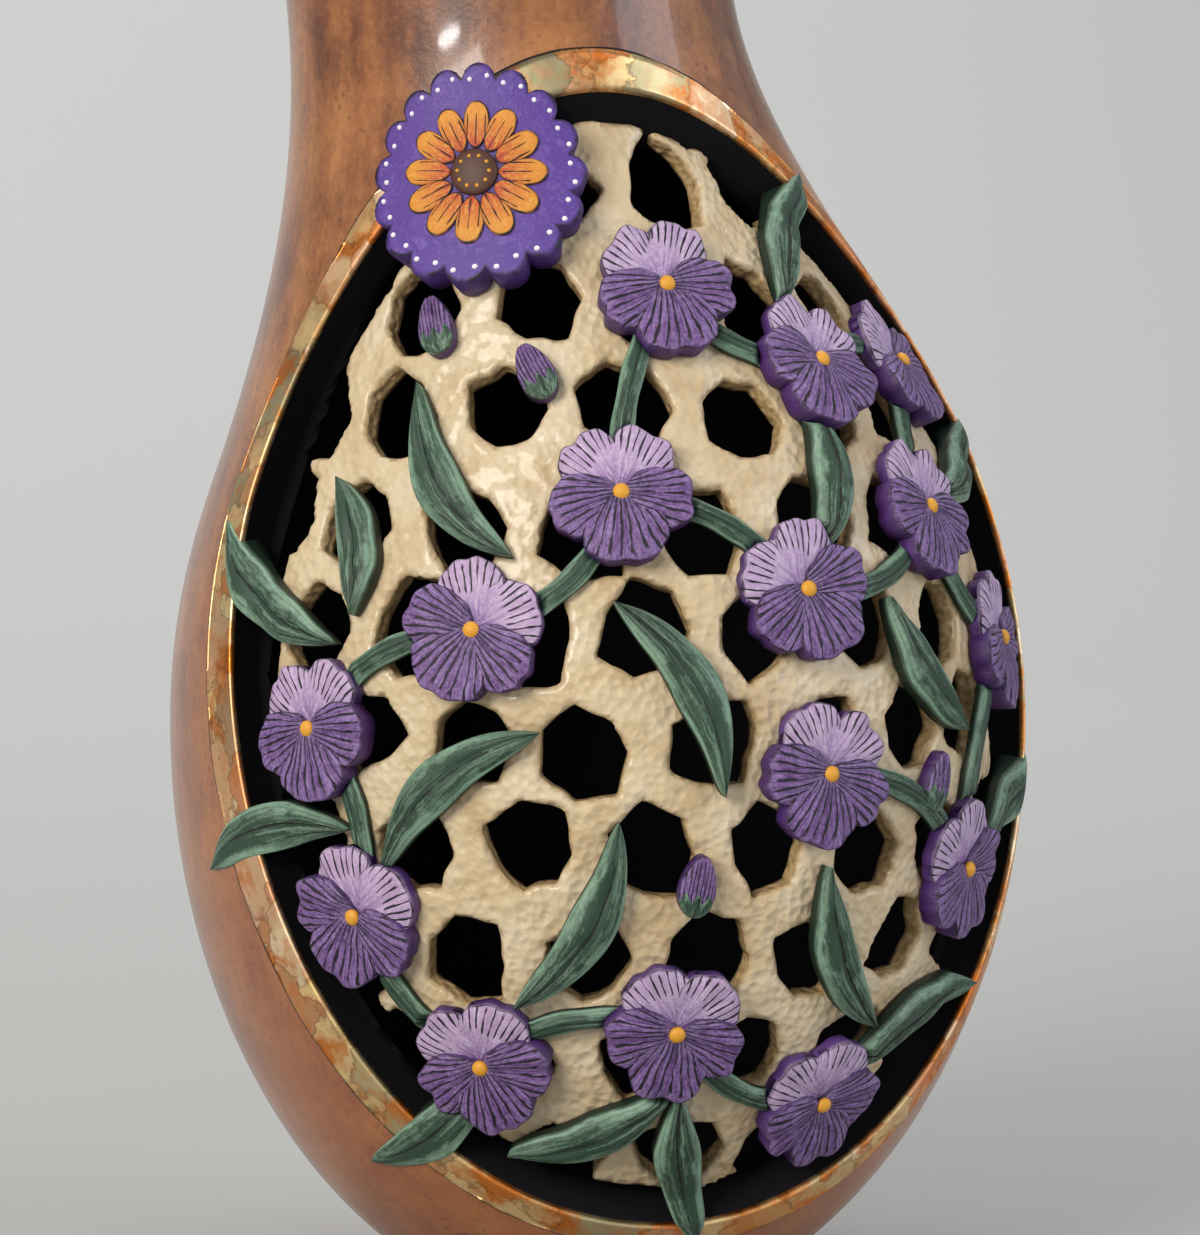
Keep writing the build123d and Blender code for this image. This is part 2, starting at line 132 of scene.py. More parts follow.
def placeAlong(place, bearing, far, wide):
    return placeBeside(place, *turned(-bearing, far, wide))


# Seeded soft noise from -1 to 1, with features of the size given in millimetres
noiseMix = {"axes": (73856093, 19349663, 83492791), "seed": 2654435761, "stir": 1274126177}


def softNoise(points, size, seed):
    cell = np.floor(points / size).astype(np.int64)
    inside = points / size - cell
    inside = inside * inside * (3 - 2 * inside)
    total = np.zeros(len(points))
    for corner in range(8):
        step = np.array([corner & 1, corner >> 1 & 1, corner >> 2 & 1])
        x, y, z = (((cell + step) % 4096) * noiseMix["axes"]).T
        mixed = x ^ y ^ z ^ (seed * noiseMix["seed"])
        mixed = (mixed ^ (mixed >> 13)) * noiseMix["stir"] % 2 ** 32
        weight = np.prod(np.where(step == 1, inside, 1 - inside), axis=1)
        total += weight * (mixed % 65536 / 32767.5 - 1)
    return total


# Window egg, as a cone of sight from a focus behind the axis
def eggShape(margin):
    sideAngle = math.radians(window["halfAngle"])
    sideRadius = float(shellRadius(window["widest"]))
    sideReach = window["focusSetback"] + sideRadius * math.cos(sideAngle)
    topRadius = float(shellRadius(window["top"]))
    topReach = window["focusSetback"] + math.sqrt(topRadius ** 2 - float(shellLean(window["top"])) ** 2)
    bottomReach = window["focusSetback"] + float(shellRadius(window["bottom"]))
    middle = (window["widest"] - window["focusHeight"]) / sideReach
    sight = math.hypot(sideReach, sideRadius * math.sin(sideAngle))
    halfWidth = sideRadius * math.sin(sideAngle) / sideReach + margin * sight / sideReach ** 2
    upper = (window["top"] - window["focusHeight"] + margin) / topReach - middle
    lower = (window["focusHeight"] - window["bottom"] + margin) / bottomReach + middle
    return middle, halfWidth, upper, lower


def eggShare(angle, height, margin):
    middle, halfWidth, upper, lower = eggShape(margin)
    point = surfacePoint(angle, height)
    reach = np.maximum(window["focusSetback"] - point[..., 1], window["leastReach"])
    up = (point[..., 2] - window["focusHeight"]) / reach - middle
    return np.hypot(point[..., 0] / reach / halfWidth, up / np.where(up > 0, upper, lower))


# Millimetres inside the window's edge, less than nothing outside it
def insideWindow(angle, height, margin=0.0):
    step, flattest = 0.5, 0.003
    share = eggShare(angle, height, margin)
    across = np.degrees(step / shellRadius(height))
    up = step / np.sqrt(1 + shellSlope(height) ** 2)
    alongAcross = (eggShare(angle + across, height, margin) - share) / step
    alongUp = (eggShare(angle, height + up, margin) - share) / step
    inside = (1 - share) / np.maximum(np.hypot(alongAcross, alongUp), flattest)
    return np.where(abs((angle + 180) % 360 - 180) > window["farSide"], 2 * farOutside, inside)


# Where a sight line through the egg meets the gourd, found by halving
def rimPoint(bearing, margin, lift):
    middle, halfWidth, upper, lower = eggShape(margin)
    across = halfWidth * np.cos(bearing)
    up = middle + np.where(np.sin(bearing) > 0, upper, lower) * np.sin(bearing)
    nearest, farthest, halvings = 40.0, 260.0, 40
    near, far = np.full(bearing.shape, nearest), np.full(bearing.shape, farthest)
    for _ in range(halvings):
        reach = (near + far) / 2
        height = np.clip(window["focusHeight"] + up * reach, 1, gourd["shellHeight"] - 6)
        offset = np.hypot(across * reach - shellLean(height), window["focusSetback"] - reach)
        inside = offset < shellRadius(height)
        near, far = np.where(inside, reach, near), np.where(inside, far, reach)
    height = window["focusHeight"] + up * near
    angle = np.degrees(np.arctan2(across * near - shellLean(height), near - window["focusSetback"]))
    return surfacePoint(angle, height, lift)


# Materials
def linear(hexColour):
    parts = [int(hexColour[i:i + 2], 16) / 255 for i in (1, 3, 5)]
    return tuple(c / 12.92 if c <= 0.04045 else ((c + 0.055) / 1.055) ** 2.4 for c in parts) + (1.0,)


# Adds a node, links the sockets and sets the rest, and hands back the output named or else the first in use
def addNode(tree, kind, settings={}, take=None):
    node = tree.nodes.new("ShaderNode" + kind)
    for name, value in settings.items():
        if name == "stops":
            ramp = node.color_ramp.elements
            while len(ramp) < len(value):
                ramp.new(0.5)
            for element, (position, colour) in zip(ramp, value):
                element.position = position
                element.color = linear(colour)
        elif isinstance(value, bpy.types.NodeSocket):
            tree.links.new(value, node.inputs[name])
        elif isinstance(name, str) and hasattr(node, name):
            setattr(node, name, value)
        else:
            node.inputs[name].default_value = value
    return node.outputs[take] if take else next(output for output in node.outputs if output.enabled)


def newMaterial(name, settings):
    material = bpy.data.materials.new(name)
    material.use_nodes = True
    shader = material.node_tree.nodes["Principled BSDF"]
    for socket, value in settings.items():
        shader.inputs[socket].default_value = value
    return material, material.node_tree, shader.inputs


def perMillimetre(size):
    return 1 / (size * mm)


# Leather-dyed gourd rind under lacquer: warm brown, cloudy, streaked and freckled, with a clear wet gloss
def dyedRind():
    material, tree, shader = newMaterial("leatherDyedGourdRind", {
        "Roughness": 0.36, "IOR": 1.5, "Coat Weight": 0.5, "Coat Roughness": 0.08, "Coat IOR": 1.5})
    place = addNode(tree, "TexCoord", take="Object")
    cloud = addNode(tree, "TexNoise", {
        "Scale": perMillimetre(52), "Detail": 7, "Roughness": 0.66, "Vector": place})
    streaks = addNode(tree, "Mapping", {"Scale": (1, 1, 0.12), "Vector": place})
    streak = addNode(tree, "TexNoise", {
        "Scale": perMillimetre(16), "Detail": 6, "Roughness": 0.66, "Vector": streaks})
    grain = addNode(tree, "TexNoise", {
        "Scale": perMillimetre(2.2), "Detail": 5, "Roughness": 0.7, "Vector": place})
    clouded = addNode(tree, "Math", {"operation": "MULTIPLY_ADD", 0: streak, 1: 0.6, 2: cloud})
    blend = addNode(tree, "Math", {"operation": "MULTIPLY_ADD", 0: grain, 1: 0.3, 2: clouded})
    dye = addNode(tree, "MapRange", {"From Min": 0.68, "From Max": 1.2, "Value": blend})
    ground = addNode(tree, "ValToRGB", {"Fac": dye, "stops": [
        (0.1, "#432010"), (0.38, "#6f3f22"), (0.6, "#8c5630"), (0.9, "#a9713f")]})
    # The bulb took the dye more orange than the neck
    level = addNode(tree, "SeparateXYZ", {0: place}, "Z")
    low = addNode(tree, "MapRange", {
        "From Min": 260 * mm, "From Max": 50 * mm, "To Max": 0.45, "Value": level})
    warm = addNode(tree, "Mix", {"data_type": "RGBA", 0: low, 6: ground, 7: linear("#a9612f")})
    # Mould spots from the drying, some alone and some in clusters
    freckles = addNode(tree, "TexVoronoi", {"Scale": perMillimetre(3.4), "Randomness": 1.0, "Vector": place})
    cluster = addNode(tree, "TexNoise", {"Scale": perMillimetre(24), "Detail": 3, "Vector": place})
    grown = addNode(tree, "MapRange", {
        "From Min": 0.38, "From Max": 0.66, "To Min": 0.08, "To Max": 0.36, "Value": cluster})
    ratio = addNode(tree, "Math", {"operation": "DIVIDE", 0: freckles, 1: grown})
    spot = addNode(tree, "MapRange", {
        "From Min": 0.3, "From Max": 1.0, "To Min": 0.45, "To Max": 0.0, "Value": ratio})
    freckled = addNode(tree, "Mix", {"data_type": "RGBA", 0: spot, 6: warm, 7: linear("#42210e")})
    tree.links.new(freckled, shader["Base Color"])
    swell = addNode(tree, "TexNoise", {"Scale": perMillimetre(17), "Detail": 1, "Vector": place})
    height = addNode(tree, "Math", {"operation": "MULTIPLY_ADD", 0: swell, 1: 2.0, 2: grain})
    bump = addNode(tree, "Bump", {"Strength": 0.55, "Distance": 0.3 * mm, "Height": height})
    tree.links.new(bump, shader["Normal"])
    return material


# Black-dyed gourd flesh: a dead matt black that hides the inside
def blackInside():
    return newMaterial("blackDyedGourdFlesh", {
        "Base Color": linear("#131215"), "Roughness": 0.95, "IOR": 1.4, "Specular IOR Level": 0.15})[0]


# Variegated metal leaf, laid in torn flakes and varnished: pale gold that runs to copper and grey green
def metalLeaf():
    material, tree, shader = newMaterial("variegatedMetalLeaf", {"Metallic": 1.0})
    place = addNode(tree, "TexCoord", take="Object")
    bend = addNode(tree, "TexNoise", {
        "Scale": perMillimetre(11), "Detail": 4, "Roughness": 0.6, "Vector": place}, "Color")
    shift = addNode(tree, "VectorMath", {"operation": "MULTIPLY_ADD", 0: bend, 1: (22 * mm,) * 3, 2: place})
    flake = addNode(tree, "TexVoronoi", {"Scale": perMillimetre(19), "Vector": shift}, "Color")
    pick = addNode(tree, "SeparateColor", {0: flake})
    ground = addNode(tree, "ValToRGB", {"Fac": pick, "stops": [
        (0.0, "#f8dfa6"), (0.22, "#e08f3c"), (0.4, "#fdeac2"),
        (0.56, "#e99c68"), (0.72, "#b4ac86"), (0.9, "#f9d99c")]})
    heat = addNode(tree, "TexNoise", {"Scale": perMillimetre(14), "Detail": 2, "Vector": shift})
    burnt = addNode(tree, "MapRange", {"From Min": 0.46, "From Max": 0.62, "To Max": 0.9, "Value": heat})
    blush = addNode(tree, "MapRange", {"From Min": 0.42, "From Max": 0.3, "To Max": 0.6, "Value": heat})
    rose = addNode(tree, "Mix", {"data_type": "RGBA", 0: blush, 6: ground, 7: linear("#dd9a72")})
    copper = addNode(tree, "Mix", {"data_type": "RGBA", 0: burnt, 6: rose, 7: linear("#e07f2c")})
    tear = addNode(tree, "TexVoronoi", {
        "feature": "DISTANCE_TO_EDGE", "Scale": perMillimetre(19), "Vector": shift})
    seam = addNode(tree, "MapRange", {
        "From Min": 0.0, "From Max": 0.05, "To Min": 0.5, "To Max": 0.0, "Value": tear})
    colour = addNode(tree, "Mix", {"data_type": "RGBA", 0: seam, 6: copper, 7: linear("#7a4a22")})
    tree.links.new(colour, shader["Base Color"])
    rough = addNode(tree, "MapRange", {
        "From Min": 0.35, "From Max": 0.65, "To Min": 0.36, "To Max": 0.56, "Value": bend.node.outputs[0]})
    tree.links.new(rough, shader["Roughness"])
    crinkle = addNode(tree, "TexNoise", {"Scale": perMillimetre(1.8), "Detail": 4, "Vector": place})
    bump = addNode(tree, "Bump", {"Strength": 0.3, "Distance": 0.15 * mm, "Height": crinkle})
    tree.links.new(bump, shader["Normal"])
    return material


# Waxed gourd flesh: cream, hammered with a round burr on its face and fibrous where it was sawn; the tan on
# the hole walls and toward the rounded edges is painted shade
def waxedFlesh():
    material, tree, shader = newMaterial("stippledWaxedGourdFlesh", {
        "Roughness": 0.5, "IOR": 1.45, "Coat Weight": 0.4, "Coat Roughness": 0.1})
    place = addNode(tree, "TexCoord", take="Object")
    side = addNode(tree, "Attribute", {"attribute_name": "side"}, "Fac")
    cloud = addNode(tree, "TexNoise", {"Scale": perMillimetre(14), "Detail": 4, "Vector": place})
    face = addNode(tree, "ValToRGB", {"Fac": cloud, "stops": [
        (0.3, "#bca37c"), (0.5, "#cab692"), (0.72, "#d4c4a6")]})
    fibre = addNode(tree, "TexNoise", {"Scale": perMillimetre(1.6), "Detail": 3, "Vector": place})
    # Painted shade: tan on the hole walls, blending onto the face's rounded edges, over a fibre grain
    shadedWallTan = addNode(tree, "ValToRGB", {"Fac": fibre, "stops": [
        (0.3, "#93774f"), (0.55, "#b2966b"), (0.75, "#c8ae84")]})
    colour = addNode(tree, "Mix", {"data_type": "RGBA", 0: side, 6: face, 7: shadedWallTan})
    tree.links.new(colour, shader["Base Color"])
    dimples = addNode(tree, "TexVoronoi", {
        "feature": "SMOOTH_F1", "Scale": perMillimetre(2.6), "Smoothness": 0.3, "Vector": place})
    bump = addNode(tree, "Bump", {"Strength": 1.0, "Distance": 0.8 * mm, "Height": dimples})
    tree.links.new(bump, shader["Normal"])
    return material


# Acrylic brushed over carved gourd: a matt ground with painted shade darkening it toward each piece's foot,
# paler paint dragged over the high places, burned lines
def brushedPaint(name, colours, lines):
    material, tree, shader = newMaterial(name, {"Roughness": 0.55, "IOR": 1.47})
    tint = {key: linear(value) for key, value in colours.items()}
    place = addNode(tree, "TexCoord", take="Object")
    along, fan, edge, side = [addNode(tree, "Attribute", {"attribute_name": key}, "Fac")
                              for key in ("along", "fan", "edge", "side")]
    stroke = addNode(tree, "CombineXYZ", {0: along, 1: fan})
    drag = addNode(tree, "Mapping", {
        "Scale": (lines["dragAlong"], lines["dragAcross"], 1), "Vector": stroke})
    jitter = addNode(tree, "TexNoise", {"Scale": perMillimetre(7), "Detail": 2, "Vector": place}, "Color")
    moved = addNode(tree, "VectorMath", {
        "operation": "MULTIPLY_ADD", 0: jitter, 1: lines["jitter"], 2: drag})
    bristle = addNode(tree, "TexNoise", {"Scale": 1.0, "Detail": 4, "Roughness": 0.65, "Vector": moved})
    grain = addNode(tree, "TexNoise", {"Scale": perMillimetre(0.9), "Detail": 2, "Vector": place})
    catch = addNode(tree, "Math", {"operation": "MULTIPLY_ADD", 0: grain, 1: lines["grain"], 2: bristle})
    border = addNode(tree, "MapRange", {
        "From Min": 0.05, "From Max": 0.6, "To Min": lines["edgeLight"], "To Max": 0.0, "Value": edge})
    high = addNode(tree, "Math", {"operation": "ADD", 0: catch, 1: border})
    dry = addNode(tree, "MapRange", {
        "From Min": lines["dryFrom"], "From Max": lines["dryTo"], "To Max": 0.9, "Value": high})
    # Painted shade: the ground darkens toward the foot of each piece, into a petal's throat
    depth = addNode(tree, "MapRange", {
        "interpolation_type": "SMOOTHSTEP", "From Min": 0.05, "From Max": lines["footShadeClearsBy"], "Value": along})
    ground = addNode(tree, "Mix", {"data_type": "RGBA", 0: depth, 6: tint["footShade"], 7: tint["ground"]})
    face = addNode(tree, "Mix", {"data_type": "RGBA", 0: dry, 6: ground, 7: tint["pale"]})
    walls = addNode(tree, "Mix", {"data_type": "RGBA", 0: side, 6: face, 7: tint["side"]})
    # Burned lines fan out from the foot of the petal, unsteady, now thicker and now thinner
    wander = addNode(tree, "TexNoise", {"Scale": perMillimetre(8), "Detail": 2, "Vector": place})
    sway = addNode(tree, "Math", {"operation": "MULTIPLY", 0: wander, 1: lines["wander"]})
    spread = addNode(tree, "Math", {"operation": "MULTIPLY_ADD", 0: fan, 1: lines["count"] / 2, 2: sway})
    comb = addNode(tree, "Math", {"operation": "PINGPONG", 0: spread, 1: 0.5})
    weight = addNode(tree, "TexNoise", {"Scale": perMillimetre(3.5), "Detail": 1, "Vector": place})
    press = addNode(tree, "MapRange", {
        "From Min": 0.3, "From Max": 0.7, "To Min": 0.35, "To Max": 1.6, "Value": weight})
    pressed = addNode(tree, "Math", {"operation": "DIVIDE", 0: comb, 1: press})
    thin = addNode(tree, "MapRange", {
        "From Min": lines["width"] * 0.6, "From Max": lines["width"], "To Min": 1, "To Max": 0,
        "Value": pressed})
    ragged = addNode(tree, "Math", {"operation": "MULTIPLY_ADD", 0: weight, 1: 0.35, 2: along})
    reach, stop = [
        addNode(tree, "MapRange", {
            "From Min": lines[end] + 0.17, "From Max": lines[end] + 0.24, "To Min": 1 - past, "To Max": past,
            "Value": ragged})
        for end, past in (("from", 1), ("to", 0))]
    inked = addNode(tree, "Math", {"operation": "MULTIPLY", 0: thin, 1: reach})
    stopped = addNode(tree, "Math", {"operation": "MULTIPLY", 0: inked, 1: stop})
    onFace = addNode(tree, "Math", {"operation": "SUBTRACT", "use_clamp": True, 0: 1.0, 1: side})
    line = addNode(tree, "Math", {"operation": "MULTIPLY", 0: stopped, 1: onFace})
    outline = addNode(tree, "MapRange", {
        "From Min": 0.02, "From Max": 0.06, "To Min": lines["outline"], "To Max": 0, "Value": edge})
    faceLine = addNode(tree, "Math", {"operation": "MULTIPLY", 0: outline, 1: onFace})
    broken = addNode(tree, "Math", {"operation": "MULTIPLY", 0: faceLine, 1: press})
    burn = addNode(tree, "Math", {"operation": "MAXIMUM", "use_clamp": True, 0: line, 1: broken})
    colour = addNode(tree, "Mix", {"data_type": "RGBA", 0: burn, 6: walls, 7: tint["burned"]})
    tree.links.new(colour, shader["Base Color"])
    cut = addNode(tree, "Math", {"operation": "MULTIPLY_ADD", 0: line, 1: -1.6, 2: catch})
    bump = addNode(tree, "Bump", {"Strength": 0.7, "Distance": 0.4 * mm, "Height": cut})
    tree.links.new(bump, shader["Normal"])
    return material


# Plain acrylic, brushed out smooth, for the small spots
def plainPaint(name, hexColour, roughness):
    return newMaterial(name, {"Base Color": linear(hexColour), "Roughness": roughness, "IOR": 1.47})[0]


# Dry gourd stem: grey-brown, cracked along its fibres, without any gloss
def dryStem():
    material, tree, shader = newMaterial("dryGourdStem", {"Roughness": 0.8, "IOR": 1.4})
    place = addNode(tree, "TexCoord", take="Object")
    length = addNode(tree, "Mapping", {"Scale": (1, 1, 0.12), "Vector": place})
    fibre = addNode(tree, "TexNoise", {"Scale": perMillimetre(1.8), "Detail": 5, "Vector": length})
    colour = addNode(tree, "ValToRGB", {"Fac": fibre, "stops": [
        (0.3, "#3f2d1d"), (0.5, "#745a3e"), (0.72, "#9b8160")]})
    tree.links.new(colour, shader["Base Color"])
    bump = addNode(tree, "Bump", {"Strength": 0.7, "Distance": 0.5 * mm, "Height": fibre})
    tree.links.new(bump, shader["Normal"])
    return material


rind, inside, leafMetal, flesh, stemWood = dyedRind(), blackInside(), metalLeaf(), waxedFlesh(), dryStem()
burnedLine = plainPaint("burnedLine", "#191210", 0.7)
eyePaint = plainPaint("yellowAcrylic", "#d8992c", 0.5)
whiteDots = plainPaint("whiteAcrylic", "#ece9ee", 0.4)
brownPaint = plainPaint("burnedBrown", "#4a2a1a", 0.55)

# What most of the brushwork shares, then each paint's own colours with a painted shade for the foot, strokes
# over a petal and burned lines
brush = {"footShadeClearsBy": 0.6, "edgeLight": 0.0, "grain": 0.45, "jitter": (2, 2, 4)}
violet = brushedPaint(
    "violetBrushedAcrylic",
    {"footShade": "#331748", "ground": "#56336c", "pale": "#957bae", "side": "#492668", "burned": "#120c16"},
    {**brush, "count": 9, "width": 0.15, "from": 0.08, "to": 0.86, "wander": 0.9, "outline": 0.7,
     "footShadeClearsBy": 0.5, "edgeLight": 0.06, "dragAlong": 1.8, "dragAcross": 15, "dryFrom": 0.62, "dryTo": 0.96})
lilac = brushedPaint(
    "lilacBrushedAcrylic",
    {"footShade": "#7b5b98", "ground": "#ab90b4", "pale": "#cab9d0", "side": "#5a3a7e", "burned": "#151019"},
    {**brush, "count": 11, "width": 0.13, "from": 0.5, "to": 0.9, "wander": 0.7, "outline": 0.75,
     "dragAlong": 1.6, "dragAcross": 10, "dryFrom": 0.64, "dryTo": 0.98})
leafGreen = brushedPaint(
    "greenBrushedAcrylic",
    {"footShade": "#1a2c1f", "ground": "#264030", "pale": "#86a78f", "side": "#18291d", "burned": "#0e1610"},
    {**brush, "count": 1, "width": 0.028, "from": 0.02, "to": 0.8, "wander": 0.07, "outline": 0.55,
     "edgeLight": 0.2, "grain": 0.14, "dragAlong": 1.7, "dragAcross": 4.5, "jitter": (0.5, 0.8, 2.2),
     "dryFrom": 0.55, "dryTo": 0.86})
groundPaint = brushedPaint(
    "purpleBrushedAcrylic",
    {"footShade": "#452a78", "ground": "#523389", "pale": "#7459a6", "side": "#43256f", "burned": "#120c16"},
    {**brush, "count": 1, "width": 0.001, "from": 2, "to": 3, "wander": 0, "outline": 0.8,
     "dragAlong": 4, "dragAcross": 4, "jitter": (2, 2, 8), "dryFrom": 0.72, "dryTo": 1.1})
rayPaint = brushedPaint(
    "orangeBrushedAcrylic",
    {"footShade": "#b5421c", "ground": "#cf8229", "pale": "#dca945", "side": "#923b1c", "burned": "#150d0a"},
    {**brush, "count": 3, "width": 0.07, "from": 0.05, "to": 0.66, "wander": 0.1, "outline": 1.0,
     "footShadeClearsBy": 0.8, "dragAlong": 3, "dragAcross": 8, "dryFrom": 0.68, "dryTo": 1.0})
print("materials made")


# Meshes
def addPiece(name, points, faces, materials, node, faceMaterial=None, attributes={}):
    mesh = bpy.data.meshes.new(name)
    mesh.from_pydata((np.asarray(points) * mm).tolist(), [], [list(map(int, face)) for face in faces])
    for material in materials:
        mesh.materials.append(material)
    if faceMaterial is not None:
        mesh.polygons.foreach_set("material_index", np.asarray(faceMaterial, np.int32))
    for key, values in attributes.items():
        mesh.attributes.new(key, "FLOAT", "POINT").data.foreach_set("value", np.asarray(values, np.float32))
    mesh.shade_smooth()
    mesh.validate()
    piece = bpy.data.objects.new(name, mesh)
    bpy.context.scene.collection.objects.link(piece)
    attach(piece, "root")
    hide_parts(node)


# A grid on the gourd, cut along the line where a field is nothing: it keeps where the field is less
gridCut = {"probe": 0.2, "flattest": 1e-4, "snapShare": 0.5, "snapReach": 0.75, "moveReach": 0.8}


def cutGrid(angles, heights, field, closed):
    angle, height = np.meshgrid(angles, heights)
    perDegree = np.radians(shellRadius(height))
    perHeight = np.sqrt(1 + shellSlope(height) ** 2)
    stepAcross = abs(angles[1] - angles[0]) * perDegree
    stepUp = np.gradient(heights)[:, None] * perHeight
    step, probe = np.maximum(stepAcross, stepUp), gridCut["probe"]
    sign = None
    for _ in range(2):
        value = field(angle, height)
        slopeAcross = (field(angle + probe / perDegree, height) - value) / probe
        slopeUp = (field(angle, height + probe / perHeight) - value) / probe
        steep = np.maximum(slopeAcross ** 2 + slopeUp ** 2, gridCut["flattest"])
        if sign is None:  # the first round says which points go to the line
            limit = gridCut["snapShare"] * np.maximum(stepAcross * abs(slopeAcross), stepUp * abs(slopeUp))
            reachable = abs(value) / np.sqrt(steep) < gridCut["snapReach"] * step
            snapped = (abs(value) <= limit) & reachable
            sign = np.where(snapped, 0, np.sign(value))
        far = gridCut["moveReach"] * step / np.sqrt(steep)
        move = np.where(snapped, np.clip(value / steep, -far, far), 0)
        angle = angle - move * slopeAcross / perDegree
        height = height - move * slopeUp / perHeight
    rows, columns = angle.shape
    count = columns if closed else columns - 1
    row, column = np.meshgrid(np.arange(rows - 1), np.arange(count), indexing="ij")
    after = (column + 1) % columns
    quads = np.stack([row * columns + column, row * columns + after,
                      (row + 1) * columns + after, (row + 1) * columns + column], axis=-1).reshape(-1, 4)
    angle, height, signs = angle.ravel(), height.ravel(), sign.ravel()[quads]
    outside = (signs > 0).sum(axis=1)
    keep = (outside == 0) & (signs.min(axis=1) < 0)
    if not closed:  # a face with every corner on the line goes by its middle
        middle = field(angle[quads].mean(axis=1), height[quads].mean(axis=1))
        keep |= (outside == 0) & (signs.min(axis=1) == 0) & (middle < 0)
    faces = [tuple(quad) for quad in quads[keep]]
    for quad, mark in zip(quads[outside == 1], signs[outside == 1]):
        if mark.min() < 0:
            faces.append(tuple(quad[mark <= 0]))
    used = sorted({v for face in faces for v in face})
    number = {v: i for i, v in enumerate(used)}
    return angle[used], height[used], [tuple(number[v] for v in face) for face in faces]


def gridFaces(rows, columns):
    grid = np.arange(rows * columns).reshape(rows, columns)
    return [(grid[i, j], grid[i + 1, j], grid[i + 1, j + 1], grid[i, j + 1])
            for i in range(rows - 1) for j in range(columns - 1)]


def openEdges(faces):
    edges = {(a, b) for face in faces for a, b in zip(face, face[1:] + face[:1])}
    return [(a, b) for a, b in edges if (b, a) not in edges]


# A slab between a front and a back skin, with walls of several rows along every open edge
def slab(front, back, faces, rows):
    size = len(front)
    edges = openEdges(faces)
    rim = sorted({v for edge in edges for v in edge})
    place = {v: i for i, v in enumerate(rim)}

    def corner(row, v):
        if row == 0:
            return v
        return size + v if row == rows else 2 * size + (row - 1) * len(rim) + place[v]

    points = [front, back] + [front[rim] + (back[rim] - front[rim]) * (row / rows) for row in range(1, rows)]
    made = list(faces) + [tuple(v + size for v in reversed(face)) for face in faces]
    made += [(corner(row, b), corner(row, a), corner(row + 1, a), corner(row + 1, b))
             for a, b in edges for row in range(rows)]
    kinds = ["front"] * len(faces) + ["back"] * len(faces) + ["wall"] * (len(edges) * rows)
    return np.concatenate(points), made, kinds, rim


# Gourd shell
shellGrid = {"columns": 252, "rows": 190, "wallRows": 5, "firstTurn": 0.02, "lastTurn": 0.06, "samples": 4000}


# Heights an even step apart along the profile, from the flat to the crown
def profileHeights():
    turn = np.linspace(shellGrid["firstTurn"], np.pi - shellGrid["lastTurn"], shellGrid["samples"])
    height = np.concatenate([[0.0], gourd["shellHeight"] * (1 - np.cos(turn)) / 2])
    run = np.concatenate([[0], np.cumsum(np.hypot(np.diff(height), np.diff(shellRadius(height))))])
    return np.interp(np.linspace(0, run[-1], shellGrid["rows"]), run, height)


def makeShell():
    heights = profileHeights()
    angles = np.arange(shellGrid["columns"]) * 360 / shellGrid["columns"] - 180
    angle, height, faces = cutGrid(angles, heights, insideWindow, True)
    front = surfacePoint(angle, height)
    back = surfacePoint(angle, height, -gourd["wall"])
    bottom = [i for i in range(len(front)) if height[i] == heights[0]]
    top = [i for i in range(len(front)) if height[i] == heights[-1]]
    # The saw leaned toward the focus, so the window's wall does too
    rim = sorted({v for edge in openEdges(faces) for v in edge} - set(bottom) - set(top))
    toward, inward = unit(focus - front[rim]), unit(back[rim] - front[rim])
    back[rim] = front[rim] + toward * (gourd["wall"] / np.sum(toward * inward, axis=1))[:, None]
    # The flat, the crown and their inner sides are closed by round faces
    caps = [tuple(sorted(bottom, key=lambda i: -angle[i])), tuple(sorted(top, key=lambda i: angle[i]))]
    points, made, kinds, _ = slab(front, back, faces + caps, shellGrid["wallRows"])
    addPiece("gourdShell", points, made, [rind, inside], "gourd_shell",
             [0 if kind == "front" else 1 for kind in kinds])


makeShell()
print("gourd shell made")

# Metal leaf band, turned over the window's edge, with a burned line along its outer side
band = {
    "width": 13.0, "trim": 0.6, "lift": 0.4, "over": 1.6, "steps": 520, "lineWidth": 0.9, "unsteady": 0.5,
    "inset": 0.35, "turnDepth": 0.5, "turnInset": 0.2, "buried": 0.6, "backMargin": 2.5, "backDepth": 1.2,
    "waves": (9.0, 3.5), "shares": (0.03, 0.1, 0.25, 0.4, 0.55, 0.7, 0.85, 1.0),
}


def makeBand():
    steps, lift = band["steps"], band["lift"]
    bearing = np.linspace(0, 2 * np.pi, steps, endpoint=False)
    start = rimPoint(bearing, 0, 0)
    toward = unit(focus - start)
    long, short = band["waves"]
    wave = band["unsteady"] * (softNoise(start, long, 3) + 0.5 * softNoise(start, short, 4))
    width = band["width"] - band["trim"]
    outer = width + wave
    inner = rimPoint(bearing, -band["inset"], 0)
    rows = [inner + toward * band["over"], inner + toward * band["turnDepth"]]
    rows.append(rimPoint(bearing, -band["turnInset"], lift * 0.6))
    rows += [rimPoint(bearing, share * width, lift) for share in band["shares"]]
    rows.append(rimPoint(bearing, outer, lift))
    rows += [rimPoint(bearing, outer + band["lineWidth"], level) for level in (lift / 2, -band["buried"])]
    rows.append(rimPoint(bearing, band["backMargin"], -band["backDepth"]))
    count = len(rows)
    faces, material = [], []
    for row in range(count):
        here, after = row * steps, (row + 1) % count * steps
        faces += [(here + i, after + i, after + (i + 1) % steps, here + (i + 1) % steps)
                  for i in range(steps)]
        material += [1 if row in (count - 4, count - 3) else 0] * steps
    addPiece("metalLeafBand", np.concatenate(rows), faces, [leafMetal, burnedLine],
             "gold_leaf_band", material)


makeBand()
print("metal leaf band made")

